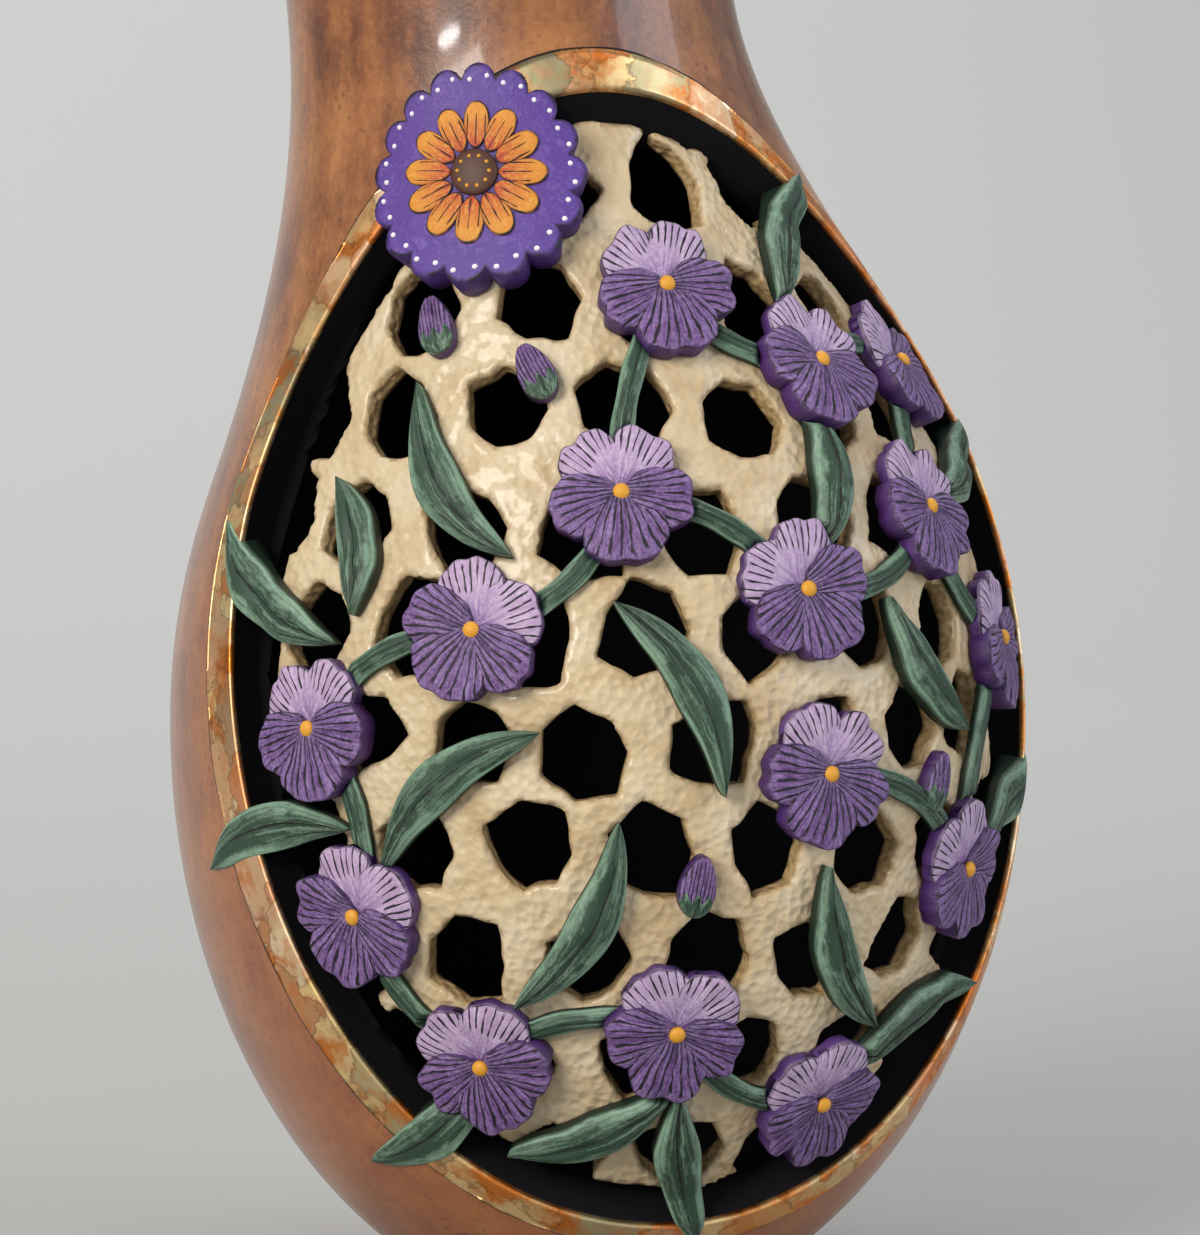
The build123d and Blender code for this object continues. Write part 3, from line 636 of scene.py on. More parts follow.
# Openwork web: rows of uneven holes in a sunk panel, rounded by the burr
web = {
    "pitch": 34.0, "rows": 10, "columns": 11, "lowestRow": 48.0, "holeRadius": 12.6, "corners": 7,
    "unevenness": 2.4, "wander": 2.0, "seed": 7, "spacing": 1.25, "edgeRound": 0.9, "blend": 2.4,
    "dimple": 3.2, "dimpleDepth": 0.3, "ragged": 1.3, "outerRagged": 1.4, "waves": (10.0, 4.5),
    "holeGrowth": 0.4, "nearHole": 26.0, "endGap": 4.0, "rowShare": 0.94, "sink": 0.25, "backGap": 0.1,
    "edgeShadeTan": 0.7, "wallRows": 4,
}


def webHoles():
    chance = random.Random(web["seed"])
    wander, uneven = web["wander"], web["unevenness"]
    made = []
    for row in range(web["rows"]):
        rowHeight = web["lowestRow"] + row * web["pitch"] * math.sqrt(3) / 2
        for column in range(web["columns"]):
            step = column - (web["columns"] - 1) / 2 + row % 2 / 2
            across = step * web["pitch"] + chance.uniform(-wander, wander)
            up = chance.uniform(-wander, wander)
            reaches = [web["holeRadius"] + chance.uniform(-uneven, uneven) for _ in range(web["corners"])]
            angle, height = placeBeside((0, rowHeight), across, up)
            if abs(angle) < window["halfAngle"]:
                made.append(((float(angle), float(height)), np.array(reaches)))
    return made


holes = webHoles()


# Less than nothing on the web, more in its holes and past its outer edge
def openWeb(angle, height):
    shape, corners = angle.shape, web["corners"]
    angle, height = angle.ravel(), height.ravel()
    flat = surfacePoint(angle, height)
    long, short = web["waves"]
    wobble = web["ragged"] * (softNoise(flat, long, 11) + 0.5 * softNoise(flat, short, 12))
    field = -insideWindow(angle, height, -relief["moat"]) + web["outerRagged"] * wobble
    best = np.full(len(angle), farOutside)
    step = 2 * np.pi / corners
    for place, reaches in holes:
        close = (abs(height - place[1]) < web["nearHole"]) & (abs(angle - place[0]) < web["nearHole"])
        if not close.any():
            continue
        across, up = offsetFrom(place, angle[close], height[close])
        turn = np.arctan2(up, across) / (2 * np.pi) * corners % corners
        low = np.floor(turn).astype(int) % corners
        past = (turn - np.floor(turn)) * step
        first, second = reaches[low], reaches[(low + 1) % corners]
        reach = first * second * math.sin(step) / (first * np.sin(past) + second * np.sin(step - past))
        best[close] = np.maximum(best[close], reach + web["holeGrowth"] - np.hypot(across, up))
    best += wobble
    gap = np.clip(1 - abs(field - best) / web["blend"], 0, 1)
    return (np.maximum(field, best) + gap * gap * web["blend"] / 4).reshape(shape)


def makeWeb():
    across = web["spacing"] / math.radians(gourd["bulbRadius"])
    angles = np.arange(-window["halfAngle"], window["halfAngle"] + across, across)
    low, high = window["bottom"] + web["endGap"], window["top"] - web["endGap"]
    heights = np.arange(low, high, web["spacing"] * web["rowShare"])
    angle, height, faces = cutGrid(angles, heights, openWeb, False)
    inward = np.clip(-openWeb(angle, height), 0, web["edgeRound"]) / web["edgeRound"]
    drop = web["edgeRound"] * (1 - np.sqrt(np.clip(1 - (1 - inward) ** 2, 0, 1)))
    flat = surfacePoint(angle, height)
    hammered = softNoise(flat, web["dimple"], 21) + 0.6 * softNoise(flat, web["dimple"] * 0.55, 22)
    lift = -relief["webDepth"] - web["sink"] - drop + web["dimpleDepth"] * hammered * inward
    front = surfacePoint(angle, height, lift)
    back = surfacePoint(angle, height, -gourd["wall"] + web["backGap"])
    points, made, kinds, _ = slab(front, back, faces, web["wallRows"])
    # Painted shade: the walls take the full tan, and the face darkens to tan toward its rounded edges
    side = np.ones(len(points))
    side[:len(front)] = web["edgeShadeTan"] * np.clip(1 - inward * 1.5, 0, 1)
    addPiece("openworkWeb", points, made, [flesh, inside], "openwork_web",
             [1 if kind == "back" else 0 for kind in kinds], {"side": side})


makeWeb()
print("openwork web made")


# Gathers the forms of one carved piece, with what its paint reads at every point
class Carving:
    def __init__(self):
        self.points, self.faces, self.material = [], [], []
        self.values = {"along": [], "fan": [], "edge": [], "side": []}

    def add(self, points, faces, material, **values):
        start = sum(len(p) for p in self.points)
        self.points.append(points)
        self.faces += [tuple(v + start for v in face) for face in faces]
        self.material += [material] * len(faces)
        for key in self.values:
            self.values[key].append(np.broadcast_to(values.get(key, 0.0), len(points)))

    def finish(self, name, materials, node, slotName):
        values = {key: np.concatenate(parts) for key, parts in self.values.items()}
        points = np.concatenate(self.points)
        addPiece(name, points, self.faces, materials, node, self.material, values)


# A round form: a centre, rings out to the edge at shares of the way, and rows of wall under the edge
def roundForm(shares, walls, count, start=0.0):
    phi = np.linspace(start, start + 2 * np.pi, count, endpoint=False)
    share = np.concatenate([[0], np.repeat(shares, count), np.ones(count * walls)])
    rings = len(shares) + walls
    faces = [(0, 1 + i, 1 + (i + 1) % count) for i in range(count)]
    for ring in range(rings - 1):
        a, b = 1 + ring * count, 1 + (ring + 1) * count
        faces += [(a + i, b + i, b + (i + 1) % count, a + (i + 1) % count) for i in range(count)]
    last = 1 + (rings - 1) * count
    faces.append(tuple(last + i for i in reversed(range(count))))
    return phi, share, np.concatenate([[0], np.tile(phi, rings)]), faces


dome = {"shares": (0.35, 0.65, 0.88, 1.0, 1.0), "roundness": 0.9}


def addDome(carving, place, radius, low, high, material, across=0.0, up=0.0, count=20):
    _, share, turn, faces = roundForm(dome["shares"], 0, count)
    angle, height = placeBeside(
        place, across + radius * share * np.cos(turn), up + radius * share * np.sin(turn))
    lift = low + (high - low) * np.sqrt(np.clip(1 - (share * dome["roundness"]) ** 2, 0, 1))
    lift[-count:] = low
    points = surfacePoint(angle, height, lift)
    carving.add(points, faces, material, along=share, fan=np.sin(turn), edge=1 - share)


# Blossoms: places as angle, height and turn, as the solids have them
blossom = {
    "reach": 20.0, "back": 19.0, "side": 17.0, "lip": 22.0, "backTop": 5.0, "frontTop": 7.6,
    "eye": 2.24, "eyeFoot": -3.0, "eyeDrop": 0.4,
    # Each petal's bearing, width, top, rise over that top, and paint
    "petals": ((128, "back", "backTop", 0.0, 1), (52, "back", "backTop", 0.3, 1),
               (194, "side", "frontTop", -0.5, 0), (-14, "side", "frontTop", -0.3, 0),
               (270, "lip", "frontTop", 0.0, 0)),
}
blossoms = [
    (24.0, 64.0, 20.0), (-4.0, 88.0, -10.0), (-33.0, 78.0, 15.0), (-50.0, 118.0, -25.0),
    (-56.0, 168.0, 10.0), (-32.0, 196.0, -30.0), (-12.0, 232.0, 5.0), (14.0, 206.0, 30.0),
    (42.0, 226.0, -15.0), (58.0, 265.0, 20.0), (29.0, 266.0, -20.0), (46.0, 126.0, 25.0),
    (16.0, 157.0, -15.0), (3.0, 286.0, 8.0), (60.0, 188.0, 10.0),
]
petal = {
    "count": 64, "rings": (0.14, 0.28, 0.42, 0.55, 0.67, 0.78, 0.87, 0.94, 0.985), "notch": 0.1,
    "notchWidth": 0.2, "flare": 0.16, "fanFrom": 5.0, "throat": 1.5, "droop": 0.8, "frill": 0.45,
    "groove": 0.25, "thick": 1.5, "undercut": -4.6,
}


def petalPlan(turn):
    return [(turn + bearing, blossom[width], blossom[top] + rise, paint)
            for bearing, width, top, rise, paint in blossom["petals"]]


# Millimetres inside a blossom's outline
def insideBlossom(place, angle, height):
    across, up = offsetFrom(place, angle, height)
    best = np.full(np.shape(across), farOutside)
    half = blossom["reach"] / 2
    for bearing, width, _, _ in petalPlan(place[2]):
        far, wide = turned(bearing, across, up)
        best = np.maximum(best, (1 - np.hypot((far - half) / half, wide / (width / 2))) * half)
    return best


def addPetal(carving, place, bearing, width, top, material, chance):
    count, rings, half = petal["count"], petal["rings"], blossom["reach"] / 2
    phi, share, turn, faces = roundForm(rings, 3, count, -np.pi)
    phase, ripple = chance.uniform(0, 6.28), chance.uniform(0.02, 0.04)
    edge = 1 + ripple * np.sin(5 * phi + phase) + 0.015 * np.sin(11 * phi + 2 * phase)
    edge -= petal["notch"] * np.exp(-(phi / petal["notchWidth"]) ** 2)
    bound = share * np.concatenate([[1], np.tile(edge, len(rings) + 3)])
    far = half + half * bound * np.cos(turn)
    wide = width / 2 * bound * np.sin(turn) * (1 + petal["flare"] * np.cos(turn))
    angle, height = placeAlong(place, bearing, far, wide)
    along = far / blossom["reach"]
    fan = np.arctan2(wide, far + petal["fanFrom"]) / math.atan2(width / 2, half + petal["fanFrom"])
    # Petals cup a little, sink toward the throat, and their edges are frilled
    face = top - relief["webDepth"]
    lift = face - petal["throat"] * np.clip(1 - along, 0, 1) ** 2 - petal["droop"] * share ** 6
    lift += petal["frill"] * share ** 3 * np.sin(4 * turn + phase)
    lift -= petal["groove"] * np.cos(fan * 9) * smoothStep(0.15, 0.5, along)
    wall = 1 + len(rings) * count
    lip = lift[wall:wall + count]
    depth = np.concatenate([np.minimum(face - petal["thick"], lip - 0.6),
                            np.repeat([petal["undercut"], -relief["seat"]], count)])
    lift[wall:] = np.minimum(depth, np.tile(lip - 0.5, 3))
    side = np.concatenate([np.zeros(wall), np.repeat([0.7, 1, 1], count)])
    points = surfacePoint(angle, height, lift)
    carving.add(points, faces, material, along=along, fan=fan, edge=1 - share, side=side)


def makeBlossom(number, place):
    chance = random.Random(39 + number)
    carving = Carving()
    for bearing, width, top, paint in petalPlan(place[2]):
        addPetal(carving, place, bearing, width, top, paint, chance)
    eyeTop = blossom["frontTop"] - blossom["eyeDrop"] - relief["webDepth"]
    addDome(carving, place, blossom["eye"], blossom["eyeFoot"], eyeTop, 2)
    paints = [violet, lilac, eyePaint]
    carving.finish("carvedPansy%d" % number, paints, "pansy_%d" % number, "violet_painted_gourd")


for number, place in enumerate(blossoms, 1):
    makeBlossom(number, place)
print("blossoms made:", len(blossoms))

# Leaves and vines are strips along a bowed line
strip = {
    "steps": 52, "across": (0, 0.14, 0.3, 0.5, 0.68, 0.85, 0.96, 1), "wallRows": 3, "hiddenLift": 0.6,
    "overRim": 1.25, "rimFall": 0.7, "rimStart": 12.0, "rimEnd": 1.0, "tuckStart": -1.6, "tuckEnd": 0.6,
}


# Its half width and the lift of its top are given along and across it, with what lies over it
def addStrip(carving, place, length, bend, halfWidth, top, over, crossing):
    half = np.array(strip["across"])
    across = np.concatenate([-half[:0:-1], half])
    far, t = np.meshgrid(np.linspace(-1, 1, strip["steps"]), across, indexing="ij")
    angle, height = placeAlong(place, place[2], far * length / 2, bend * (1 - far ** 2) + halfWidth(far) * t)
    lift = top(far, t) - relief["webDepth"]
    if crossing:  # it rises to lie on the shell where it crosses the window's edge
        raised = smoothStep(strip["rimStart"], strip["rimEnd"], insideWindow(angle, height))
        lift = lift * (1 - raised) + (strip["overRim"] - strip["rimFall"] * abs(t) ** 3) * raised
    hidden = np.zeros(angle.shape)
    for test in over:  # and it sinks under what lies over it
        hidden = np.maximum(hidden, smoothStep(strip["tuckStart"], strip["tuckEnd"], test(angle, height)))
    lift = lift * (1 - hidden) + (strip["hiddenLift"] - relief["seat"]) * hidden
    front = surfacePoint(angle, height, lift).reshape(-1, 3)
    back = surfacePoint(angle, height, np.full(lift.shape, -relief["seat"])).reshape(-1, 3)
    points, made, _, rim = slab(front, back, gridFaces(*angle.shape), strip["wallRows"])
    size = len(front)
    source = np.concatenate([np.arange(size)] * 2 + [rim] * (strip["wallRows"] - 1))
    far, t = far.ravel()[source], t.ravel()[source]
    side = np.where(np.arange(len(points)) < size, 0.0, 1.0)
    carving.add(points, made, 0, along=(far + 1) / 2, fan=t, edge=1.03 - abs(t), side=side)


# Leaves: angle, height, turn, length and bow
leaf = {
    "width": 13.0, "top": 6.6, "blunt": 0.82, "wave": 0.05, "fall": 2.4, "tipFall": 1.2, "rib": 0.9,
    "ribWidth": 0.16, "ripple": 0.25,
}
leaves = [
    (42.0, 82.0, 25.0, 56.0, 5.0), (2.0, 48.0, -75.0, 52.0, -4.0), (-44.0, 64.0, 215.0, 58.0, 6.0),
    (-64.0, 134.0, 195.0, 58.0, -6.0), (-66.0, 206.0, 150.0, 60.0, 6.0), (62.0, 238.0, 20.0, 54.0, -5.0),
    (66.0, 140.0, 20.0, 56.0, 5.0), (-20.0, 120.0, 60.0, 60.0, -8.0), (-34.0, 150.0, 40.0, 60.0, 7.5),
    (-6.0, 178.0, -60.0, 60.0, 8.0), (-36.0, 238.0, 125.0, 58.0, 7.5), (20.0, 236.0, 80.0, 44.0, -5.0),
    (36.0, 184.0, -50.0, 50.0, -4.0), (24.0, 108.0, 120.0, 56.0, 7.5), (42.0, 298.0, 50.0, 50.0, 4.0),
    (-54.0, 217.0, 110.0, 40.0, -5.0), (-17.0, 62.0, 205.0, 52.0, 6.0),
]


def insideLeaf(place, angle, height):
    far, wide = turned(place[2], *offsetFrom(place, angle, height))
    far = far / (place[3] / 2)
    return leaf["width"] / 2 * np.clip(1 - far ** 2, -1, 1) - abs(wide - place[4] * (1 - far ** 2))


def makeLeaf(number, place, over):
    phase = random.Random(79 + number).uniform(0, 6.28)

    def halfWidth(far):
        lance = np.clip(1 - far ** 2, 0.004, 1) ** leaf["blunt"]
        return leaf["width"] / 2 * lance * (1 + leaf["wave"] * np.sin(7 * far + phase))

    def top(far, t):
        crown = leaf["top"] - leaf["fall"] * abs(t) ** 2.6 - leaf["tipFall"] * abs(far) ** 4
        rib = leaf["rib"] * np.exp(-(t / leaf["ribWidth"]) ** 2)
        return crown - rib + leaf["ripple"] * np.sin(9 * far + 3 * t + phase)

    carving = Carving()
    addStrip(carving, place, place[3], place[4], halfWidth, top, over, True)
    carving.finish("carvedLeaf%d" % number, [leafGreen], "leaf_%d" % number, "green_painted_gourd")


# Vines: the blossoms that they join, by number, and their bow
vine = {"width": 6.5, "top": 4.2, "swell": 0.06, "fall": 2.2, "groove": 0.3, "grooveWidth": 0.2}
vines = [
    (1, 2, 9.0), (2, 3, -8.0), (3, 4, 7.0), (4, 5, -8.0), (5, 6, 8.0),
    (6, 7, -7.0), (7, 8, 7.0), (8, 9, -8.0), (9, 10, 7.0), (10, 11, -7.0),
    (12, 13, -8.0), (11, 14, 6.0), (9, 15, -7.0), (7, 14, 7.0), (12, 15, 8.0),
]


def makeVine(number, start, end, bow, over):
    a, b = blossoms[start - 1], blossoms[end - 1]
    middle = ((a[0] + b[0]) / 2, (a[1] + b[1]) / 2)
    across, up = offsetFrom(middle, [a[0], b[0]], [a[1], b[1]])
    run = math.degrees(math.atan2(up[1] - up[0], across[1] - across[0]))
    length = math.hypot(up[1] - up[0], across[1] - across[0])

    def halfWidth(far):
        return vine["width"] / 2 * (1 + vine["swell"] * np.sin(11 * far))

    def top(far, t):
        return vine["top"] - vine["fall"] * t ** 2 - vine["groove"] * np.exp(-(t / vine["grooveWidth"]) ** 2)

    carving = Carving()
    addStrip(carving, middle + (run,), length, bow, halfWidth, top, over, False)
    carving.finish("carvedVine%d" % number, [leafGreen], "vine_%d" % number, "green_painted_gourd")


# Buds: angle, height and turn
bud = {
    "length": 17.0, "width": 10.0, "top": 5.6, "taper": 0.22, "fall": 1.6, "fold": 0.9, "foldWidth": 0.1,
    "foldSpread": 0.42, "foldMeet": 1.15, "lip": 0.7,
    "count": 40, "rings": (0.2, 0.4, 0.6, 0.78, 0.92, 0.985),
}
calyx = {"length": 0.34, "points": 0.08, "lift": 0.3, "lip": 0.5, "thick": 1.2, "rows": 16, "columns": 25}
buds = [(-2.0, 128.0, 80.0), (37.0, 152.0, 70.0), (-24.0, 264.0, 120.0), (-42.0, 276.0, 110.0)]


def makeBud(number, place):
    carving = Carving()
    count, crown = bud["count"], bud["top"] - relief["webDepth"]
    _, share, turn, faces = roundForm(bud["rings"], 2, count, -np.pi)
    far = bud["length"] / 2 * share * np.cos(turn)
    wide = bud["width"] / 2 * share * np.sin(turn) * (1 - bud["taper"] * np.cos(turn))
    angle, height = placeAlong(place, place[2], far, wide)
    along = 0.5 + far / bud["length"]
    fan = wide / (bud["width"] / 2)
    # Three folded petals: two grooves run up to the tip
    fold = (abs(fan) - bud["foldSpread"] * (bud["foldMeet"] - along)) / bud["foldWidth"]
    lift = crown - bud["fall"] * share ** 3
    lift -= bud["fold"] * np.exp(-fold ** 2) * smoothStep(0.25, 0.4, along)
    wall = 1 + len(bud["rings"]) * count
    lift[wall:wall + count] -= bud["lip"]
    lift[wall + count:] = -relief["seat"]
    side = np.concatenate([np.zeros(wall), np.repeat([0.6, 1], count)])
    points = surfacePoint(angle, height, lift)
    carving.add(points, faces, 0, along=along, fan=fan, edge=1 - share, side=side)
    # The calyx is a thin cup with three points round the foot
    u, v = np.meshgrid(np.linspace(0, 1, calyx["rows"]), np.linspace(-1, 1, calyx["columns"]), indexing="ij")
    far = bud["length"] * (-0.5 + u * (calyx["length"] + calyx["points"] * np.cos(3 * np.pi * v)))
    out = 2 * far / bud["length"]
    wide = v * bud["width"] / 2 * np.sqrt(np.clip(1 - out ** 2, 0.002, 1)) * (1 - bud["taper"] * out)
    angle, height = placeAlong(place, place[2], far, wide)
    lift = crown - bud["fall"] * np.hypot(out, v * np.sqrt(np.clip(1 - out ** 2, 0, 1))) ** 3
    lift += calyx["lift"] - calyx["lip"] * smoothStep(0.9, 1, u)
    front = surfacePoint(angle, height, lift).reshape(-1, 3)
    back = surfacePoint(angle, height, lift - calyx["thick"]).reshape(-1, 3)
    points, made, _, _ = slab(front, back, gridFaces(*u.shape), 1)
    carving.add(points, made, 1, along=np.tile(u.ravel(), 2), fan=np.tile(v.ravel(), 2), edge=0.5)
    carving.finish("carvedBud%d" % number, [violet, leafGreen], "bud_%d" % number, "lilac_painted_gourd")


# The rosette at the window's top: scalloped ground, dots, a ring of petals and a button
rosette = {
    "place": (-30.0, 314.0, 0.0), "radius": 25.0, "scallops": 16, "scallop": 5.2, "groundLift": 0.8,
    "groundCount": 128, "groundRings": (0.15, 0.3, 0.45, 0.6, 0.75, 0.87, 0.95, 0.985), "undercut": -4.0,
    "dots": 32, "dotRadius": 0.75, "dotLift": 0.55, "dotShift": (0.6, 1.6),
    "petals": 12, "petalLength": 13.0, "petalWidth": 7.6, "petalLift": 1.9, "petalFall": 0.45,
    "petalFlare": 0.2, "petalGap": 0.93, "petalCount": 36, "petalRings": (0.3, 0.6, 0.82, 0.93, 0.985),
    "button": 6.5, "buttonLift": 2.8, "seeds": 10, "seedRadius": 0.6, "seedRing": 4.2, "seedLift": 2.75,
}


def insideRosette(angle, height):
    across, up = offsetFrom(rosette["place"], angle, height)
    return rosette["radius"] + rosette["scallop"] - np.hypot(across, up)


blossomTests = [lambda a, h, p=p: insideBlossom(p, a, h) for p in blossoms]
over = [insideRosette] + blossomTests
for number, place in enumerate(leaves, 1):
    makeLeaf(number, place, over)
    over.append(lambda a, h, p=place: insideLeaf(p, a, h))
for number, (start, end, bow) in enumerate(vines, 1):
    makeVine(number, start, end, bow, blossomTests)
for number, place in enumerate(buds, 1):
    makeBud(number, place)
print("leaves, vines and buds made:", len(leaves), len(vines), len(buds))


def makeRosetteGround():
    place, count, radius = rosette["place"], rosette["groundCount"], rosette["radius"]
    phi, share, turn, faces = roundForm(rosette["groundRings"], 3, count)
    step = 2 * np.pi / rosette["scallops"]
    off = (phi + step / 2) % step - step / 2
    bound = radius * np.cos(off) + np.sqrt(rosette["scallop"] ** 2 - (radius * np.sin(off)) ** 2)
    reach = share * np.concatenate([[1], np.tile(bound, len(rosette["groundRings"]) + 3)])
    angle, height = placeBeside(place, reach * np.cos(turn), reach * np.sin(turn))
    wall = 1 + len(rosette["groundRings"]) * count
    lift = np.full(len(share), rosette["groundLift"])
    lift[wall:] = np.repeat([rosette["groundLift"] - 0.6, rosette["undercut"], -relief["seat"]], count)
    side = np.concatenate([np.zeros(wall), np.repeat([0.5, 1, 1], count)])
    ground = Carving()
    points = surfacePoint(angle, height, lift)
    ground.add(points, faces, 0, along=share, fan=np.sin(turn), edge=1 - share, side=side)
    for dot in range(rosette["dots"]):
        bearing = 2 * np.pi * (dot + 0.5) / rosette["dots"]
        away = radius + rosette["dotShift"][dot % 2]
        addDome(ground, place, rosette["dotRadius"], 0.2, rosette["groundLift"] + rosette["dotLift"], 1,
                away * math.cos(bearing), away * math.sin(bearing), 10)
    ground.finish("rosetteGround", [groundPaint, whiteDots], "rosette_ground", "purple_painted_gourd")


def makeRosettePetals():
    rays = Carving()
    count, half, halfWidth = rosette["petalCount"], rosette["petalLength"] / 2, rosette["petalWidth"] / 2
    _, share, turn, faces = roundForm(rosette["petalRings"], 2, count, -np.pi)
    far = rosette["button"] + half + half * share * np.cos(turn)
    wide = halfWidth * share * np.sin(turn) * (1 + rosette["petalFlare"] * np.cos(turn)) * rosette["petalGap"]
    lift = rosette["petalLift"] - rosette["petalFall"] * share ** 4
    lift[-count:] = rosette["groundLift"] - 0.2
    side = np.concatenate([np.zeros(len(share) - count), np.ones(count)])
    for number in range(rosette["petals"]):
        angle, height = placeAlong(rosette["place"], 360 * number / rosette["petals"], far, wide)
        rays.add(surfacePoint(angle, height, lift), faces, 0, along=(far - rosette["button"]) / (2 * half),
                 fan=wide / halfWidth, edge=(1 - share) * 0.6, side=side)
    rays.finish("rosettePetals", [rayPaint], "rosette_petals", "orange_painted_gourd")


def makeRosetteButton():
    button, ring = Carving(), rosette["seedRing"]
    addDome(button, rosette["place"], rosette["button"] - 0.2, 0.7, rosette["buttonLift"], 0, count=40)
    for number in range(rosette["seeds"]):
        bearing = 2 * np.pi * number / rosette["seeds"]
        addDome(button, rosette["place"], rosette["seedRadius"], 1.6, rosette["seedLift"], 1,
                ring * math.cos(bearing), ring * math.sin(bearing), 10)
    button.finish("rosetteButton", [brownPaint, eyePaint], "rosette_button", "brown_burned_gourd")


makeRosetteGround()
makeRosettePetals()
makeRosetteButton()
print("rosette made")

# Dried stem on the crown: five ridges, flared foot, cut tip
stem = {
    "foot": 15.0, "waist": 7.5, "tip": 9.0, "waistShare": 0.45, "length": 36.0, "tilt": 16.0, "ridges": 5,
    "footHeight": 443.0, "around": 80, "rows": 30, "flare": 2.2, "tipFlare": 1.5, "fullness": 0.86,
    "ridge": 0.1, "fineRidges": 17, "fineRidge": 0.025, "dish": ((0.8, -0.2), (0.4, -1.0), (0.15, -2.2)),
}


def makeStem():
    around, waist, narrow = stem["around"], stem["waistShare"], stem["waist"]
    tilt = math.radians(stem["tilt"])
    phi = np.linspace(0, 2 * np.pi, around, endpoint=False)
    points = []
    for share in np.linspace(0, 1, stem["rows"]):
        if share < waist:
            radius = narrow + (stem["foot"] - narrow) * (1 - share / waist) ** stem["flare"]
        else:
            radius = narrow + (stem["tip"] - narrow) * ((share - waist) / (1 - waist)) ** stem["tipFlare"]
        ridge = stem["fullness"] + stem["ridge"] * np.cos(stem["ridges"] * phi + 0.6 * share)
        ridge += stem["fineRidge"] * np.cos(stem["fineRidges"] * phi + 3 * share)
        lean, along = tilt * min(1, share * 2.2), stem["length"] * share
        middle = -gourd["lean"] - along * math.sin(tilt) * min(1, share * 1.3 + 0.1)
        x, y = radius * ridge * np.sin(phi), -radius * ridge * np.cos(phi)
        height = stem["footHeight"] + along * math.cos(tilt)
        points.append(np.stack([middle + x * math.cos(lean), y, height + x * math.sin(lean)], axis=-1))
    # The sawn tip is dished round a pithy middle
    edge = points[-1]
    top = edge.mean(axis=0)
    for inset, drop in stem["dish"]:
        points.append(top + (edge - top) * inset + np.array([0, 0, drop]))
    last = (len(points) - 1) * around
    faces = [(r + i, r + (i + 1) % around, r + around + (i + 1) % around, r + around + i)
             for r in range(0, last, around) for i in range(around)]
    faces += [tuple(reversed(range(around))), tuple(range(last, last + around))]
    addPiece("driedStem", np.concatenate(points), faces, [stemWood], "dried_stem")


makeStem()
print("dried stem made")

# Studio: one sweep of pale grey paper, soft boxes, and the camera where the photographer stood
studio = {
    "azimuth": -15.5, "elevation": 4.0, "distance": 1350.0, "aimHeight": 191.1, "aimRight": 0.85,
    "pixelFocus": 4792.0, "imageHeight": 1235.0, "sensor": 36.0, "paper": "#a2a2a0", "paperGap": 0.8,
    "sweepBack": 4200.0, "sweepBend": 2200.0, "sweepHalf": 6000.0, "air": "#e9ebee", "airStrength": 0.5,
}
# Shape, place and aim in metres, size, power and colour
lamps = {
    "keyBox": ("RECTANGLE", (-1.5, -1.4, 1.15), (0, 0, 0.22), (1.0, 0.8), 37, "#fff9f0"),
    "fillBox": ("RECTANGLE", (1.9, -1.3, 0.9), (0, 0, 0.2), (1.4, 1.4), 22, "#f4f6ff"),
    "smallLamp": ("ELLIPSE", (-1.2, -1.05, 0.55), (0, 0, 0.35), (0.34, 0.06), 2.4, "#ffffff"),
    "topBox": ("RECTANGLE", (0.1, 0.2, 1.9), (0, 0, 0.3), (1.2, 0.8), 4, "#ffffff"),
    "backdropBox": ("RECTANGLE", (0.0, 1.6, 3.2), (0, 4.0, 0.3), (4.0, 1.2), 150, "#ffffff"),
}


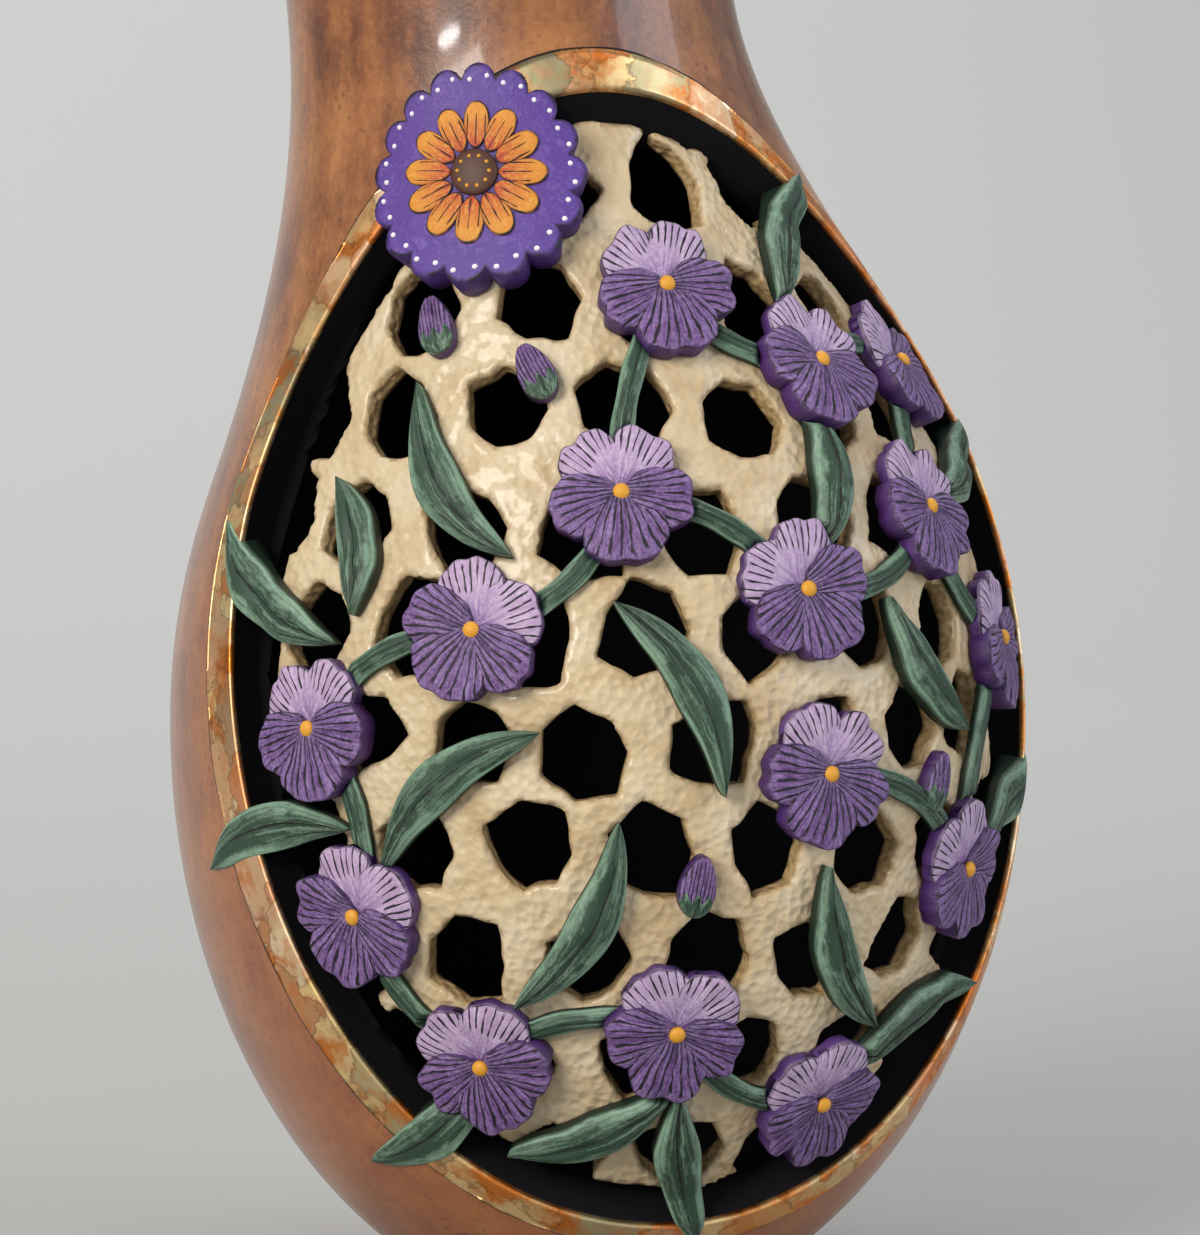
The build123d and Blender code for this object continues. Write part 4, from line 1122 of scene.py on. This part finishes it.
def makeSweep():
    back, bend, half, gap = (studio[key] for key in ("sweepBack", "sweepBend", "sweepHalf", "paperGap"))
    profile = [(-half, -gap), (back - bend, -gap)]
    profile += [(back - bend + bend * math.sin(t), bend - bend * math.cos(t) - gap)
                for t in np.linspace(0.05, np.pi / 2, 24)]
    profile.append((back, half))
    points = [(x, y, z) for y, z in profile for x in (-half, half)]
    faces = [(2 * i, 2 * i + 1, 2 * i + 3, 2 * i + 2) for i in range(len(profile) - 1)]
    mesh = bpy.data.meshes.new("paperSweep")
    mesh.from_pydata((np.array(points) * mm).tolist(), [], faces)
    mesh.materials.append(plainPaint("greyBackdropPaper", studio["paper"], 0.9))
    mesh.shade_smooth()
    sweep = bpy.data.objects.new("paperSweep", mesh)
    bpy.context.scene.collection.objects.link(sweep)


def addSoftBox(name, shape, place, aim, size, power, colour):
    lamp = bpy.data.lights.new(name, "AREA")
    lamp.shape, lamp.size, lamp.size_y = shape, size[0], size[1]
    lamp.energy, lamp.color = power, linear(colour)[:3]
    box = bpy.data.objects.new(name, lamp)
    box.location = place
    box.rotation_euler = (Vector(aim) - Vector(place)).to_track_quat("-Z", "Y").to_euler()
    bpy.context.scene.collection.objects.link(box)


def makeCamera():
    azimuth, elevation = math.radians(studio["azimuth"]), math.radians(studio["elevation"])
    right = Vector((math.cos(azimuth), math.sin(azimuth), 0))
    aim = Vector((0, 0, studio["aimHeight"] * mm)) + right * studio["aimRight"] * mm
    level = math.cos(elevation)
    back = Vector((math.sin(azimuth) * level, -math.cos(azimuth) * level, math.sin(elevation)))
    lens = bpy.data.cameras.new("photoCamera")
    lens.lens = studio["sensor"] * studio["pixelFocus"] / studio["imageHeight"]
    lens.clip_end = 50
    camera = bpy.data.objects.new("photoCamera", lens)
    camera.location = aim + back * studio["distance"] * mm
    camera.rotation_euler = (-back).to_track_quat("-Z", "Y").to_euler()
    bpy.context.scene.collection.objects.link(camera)
    bpy.context.scene.camera = camera


makeSweep()
for name, lamp in lamps.items():
    addSoftBox(name, *lamp)
makeCamera()
world = bpy.data.worlds.new("studioAir")
bpy.context.scene.world = world
world.use_nodes = True
world.node_tree.nodes["Background"].inputs["Color"].default_value = linear(studio["air"])
world.node_tree.nodes["Background"].inputs["Strength"].default_value = studio["airStrength"]
bpy.context.scene.view_settings.view_transform = "Standard"
print("studio made")
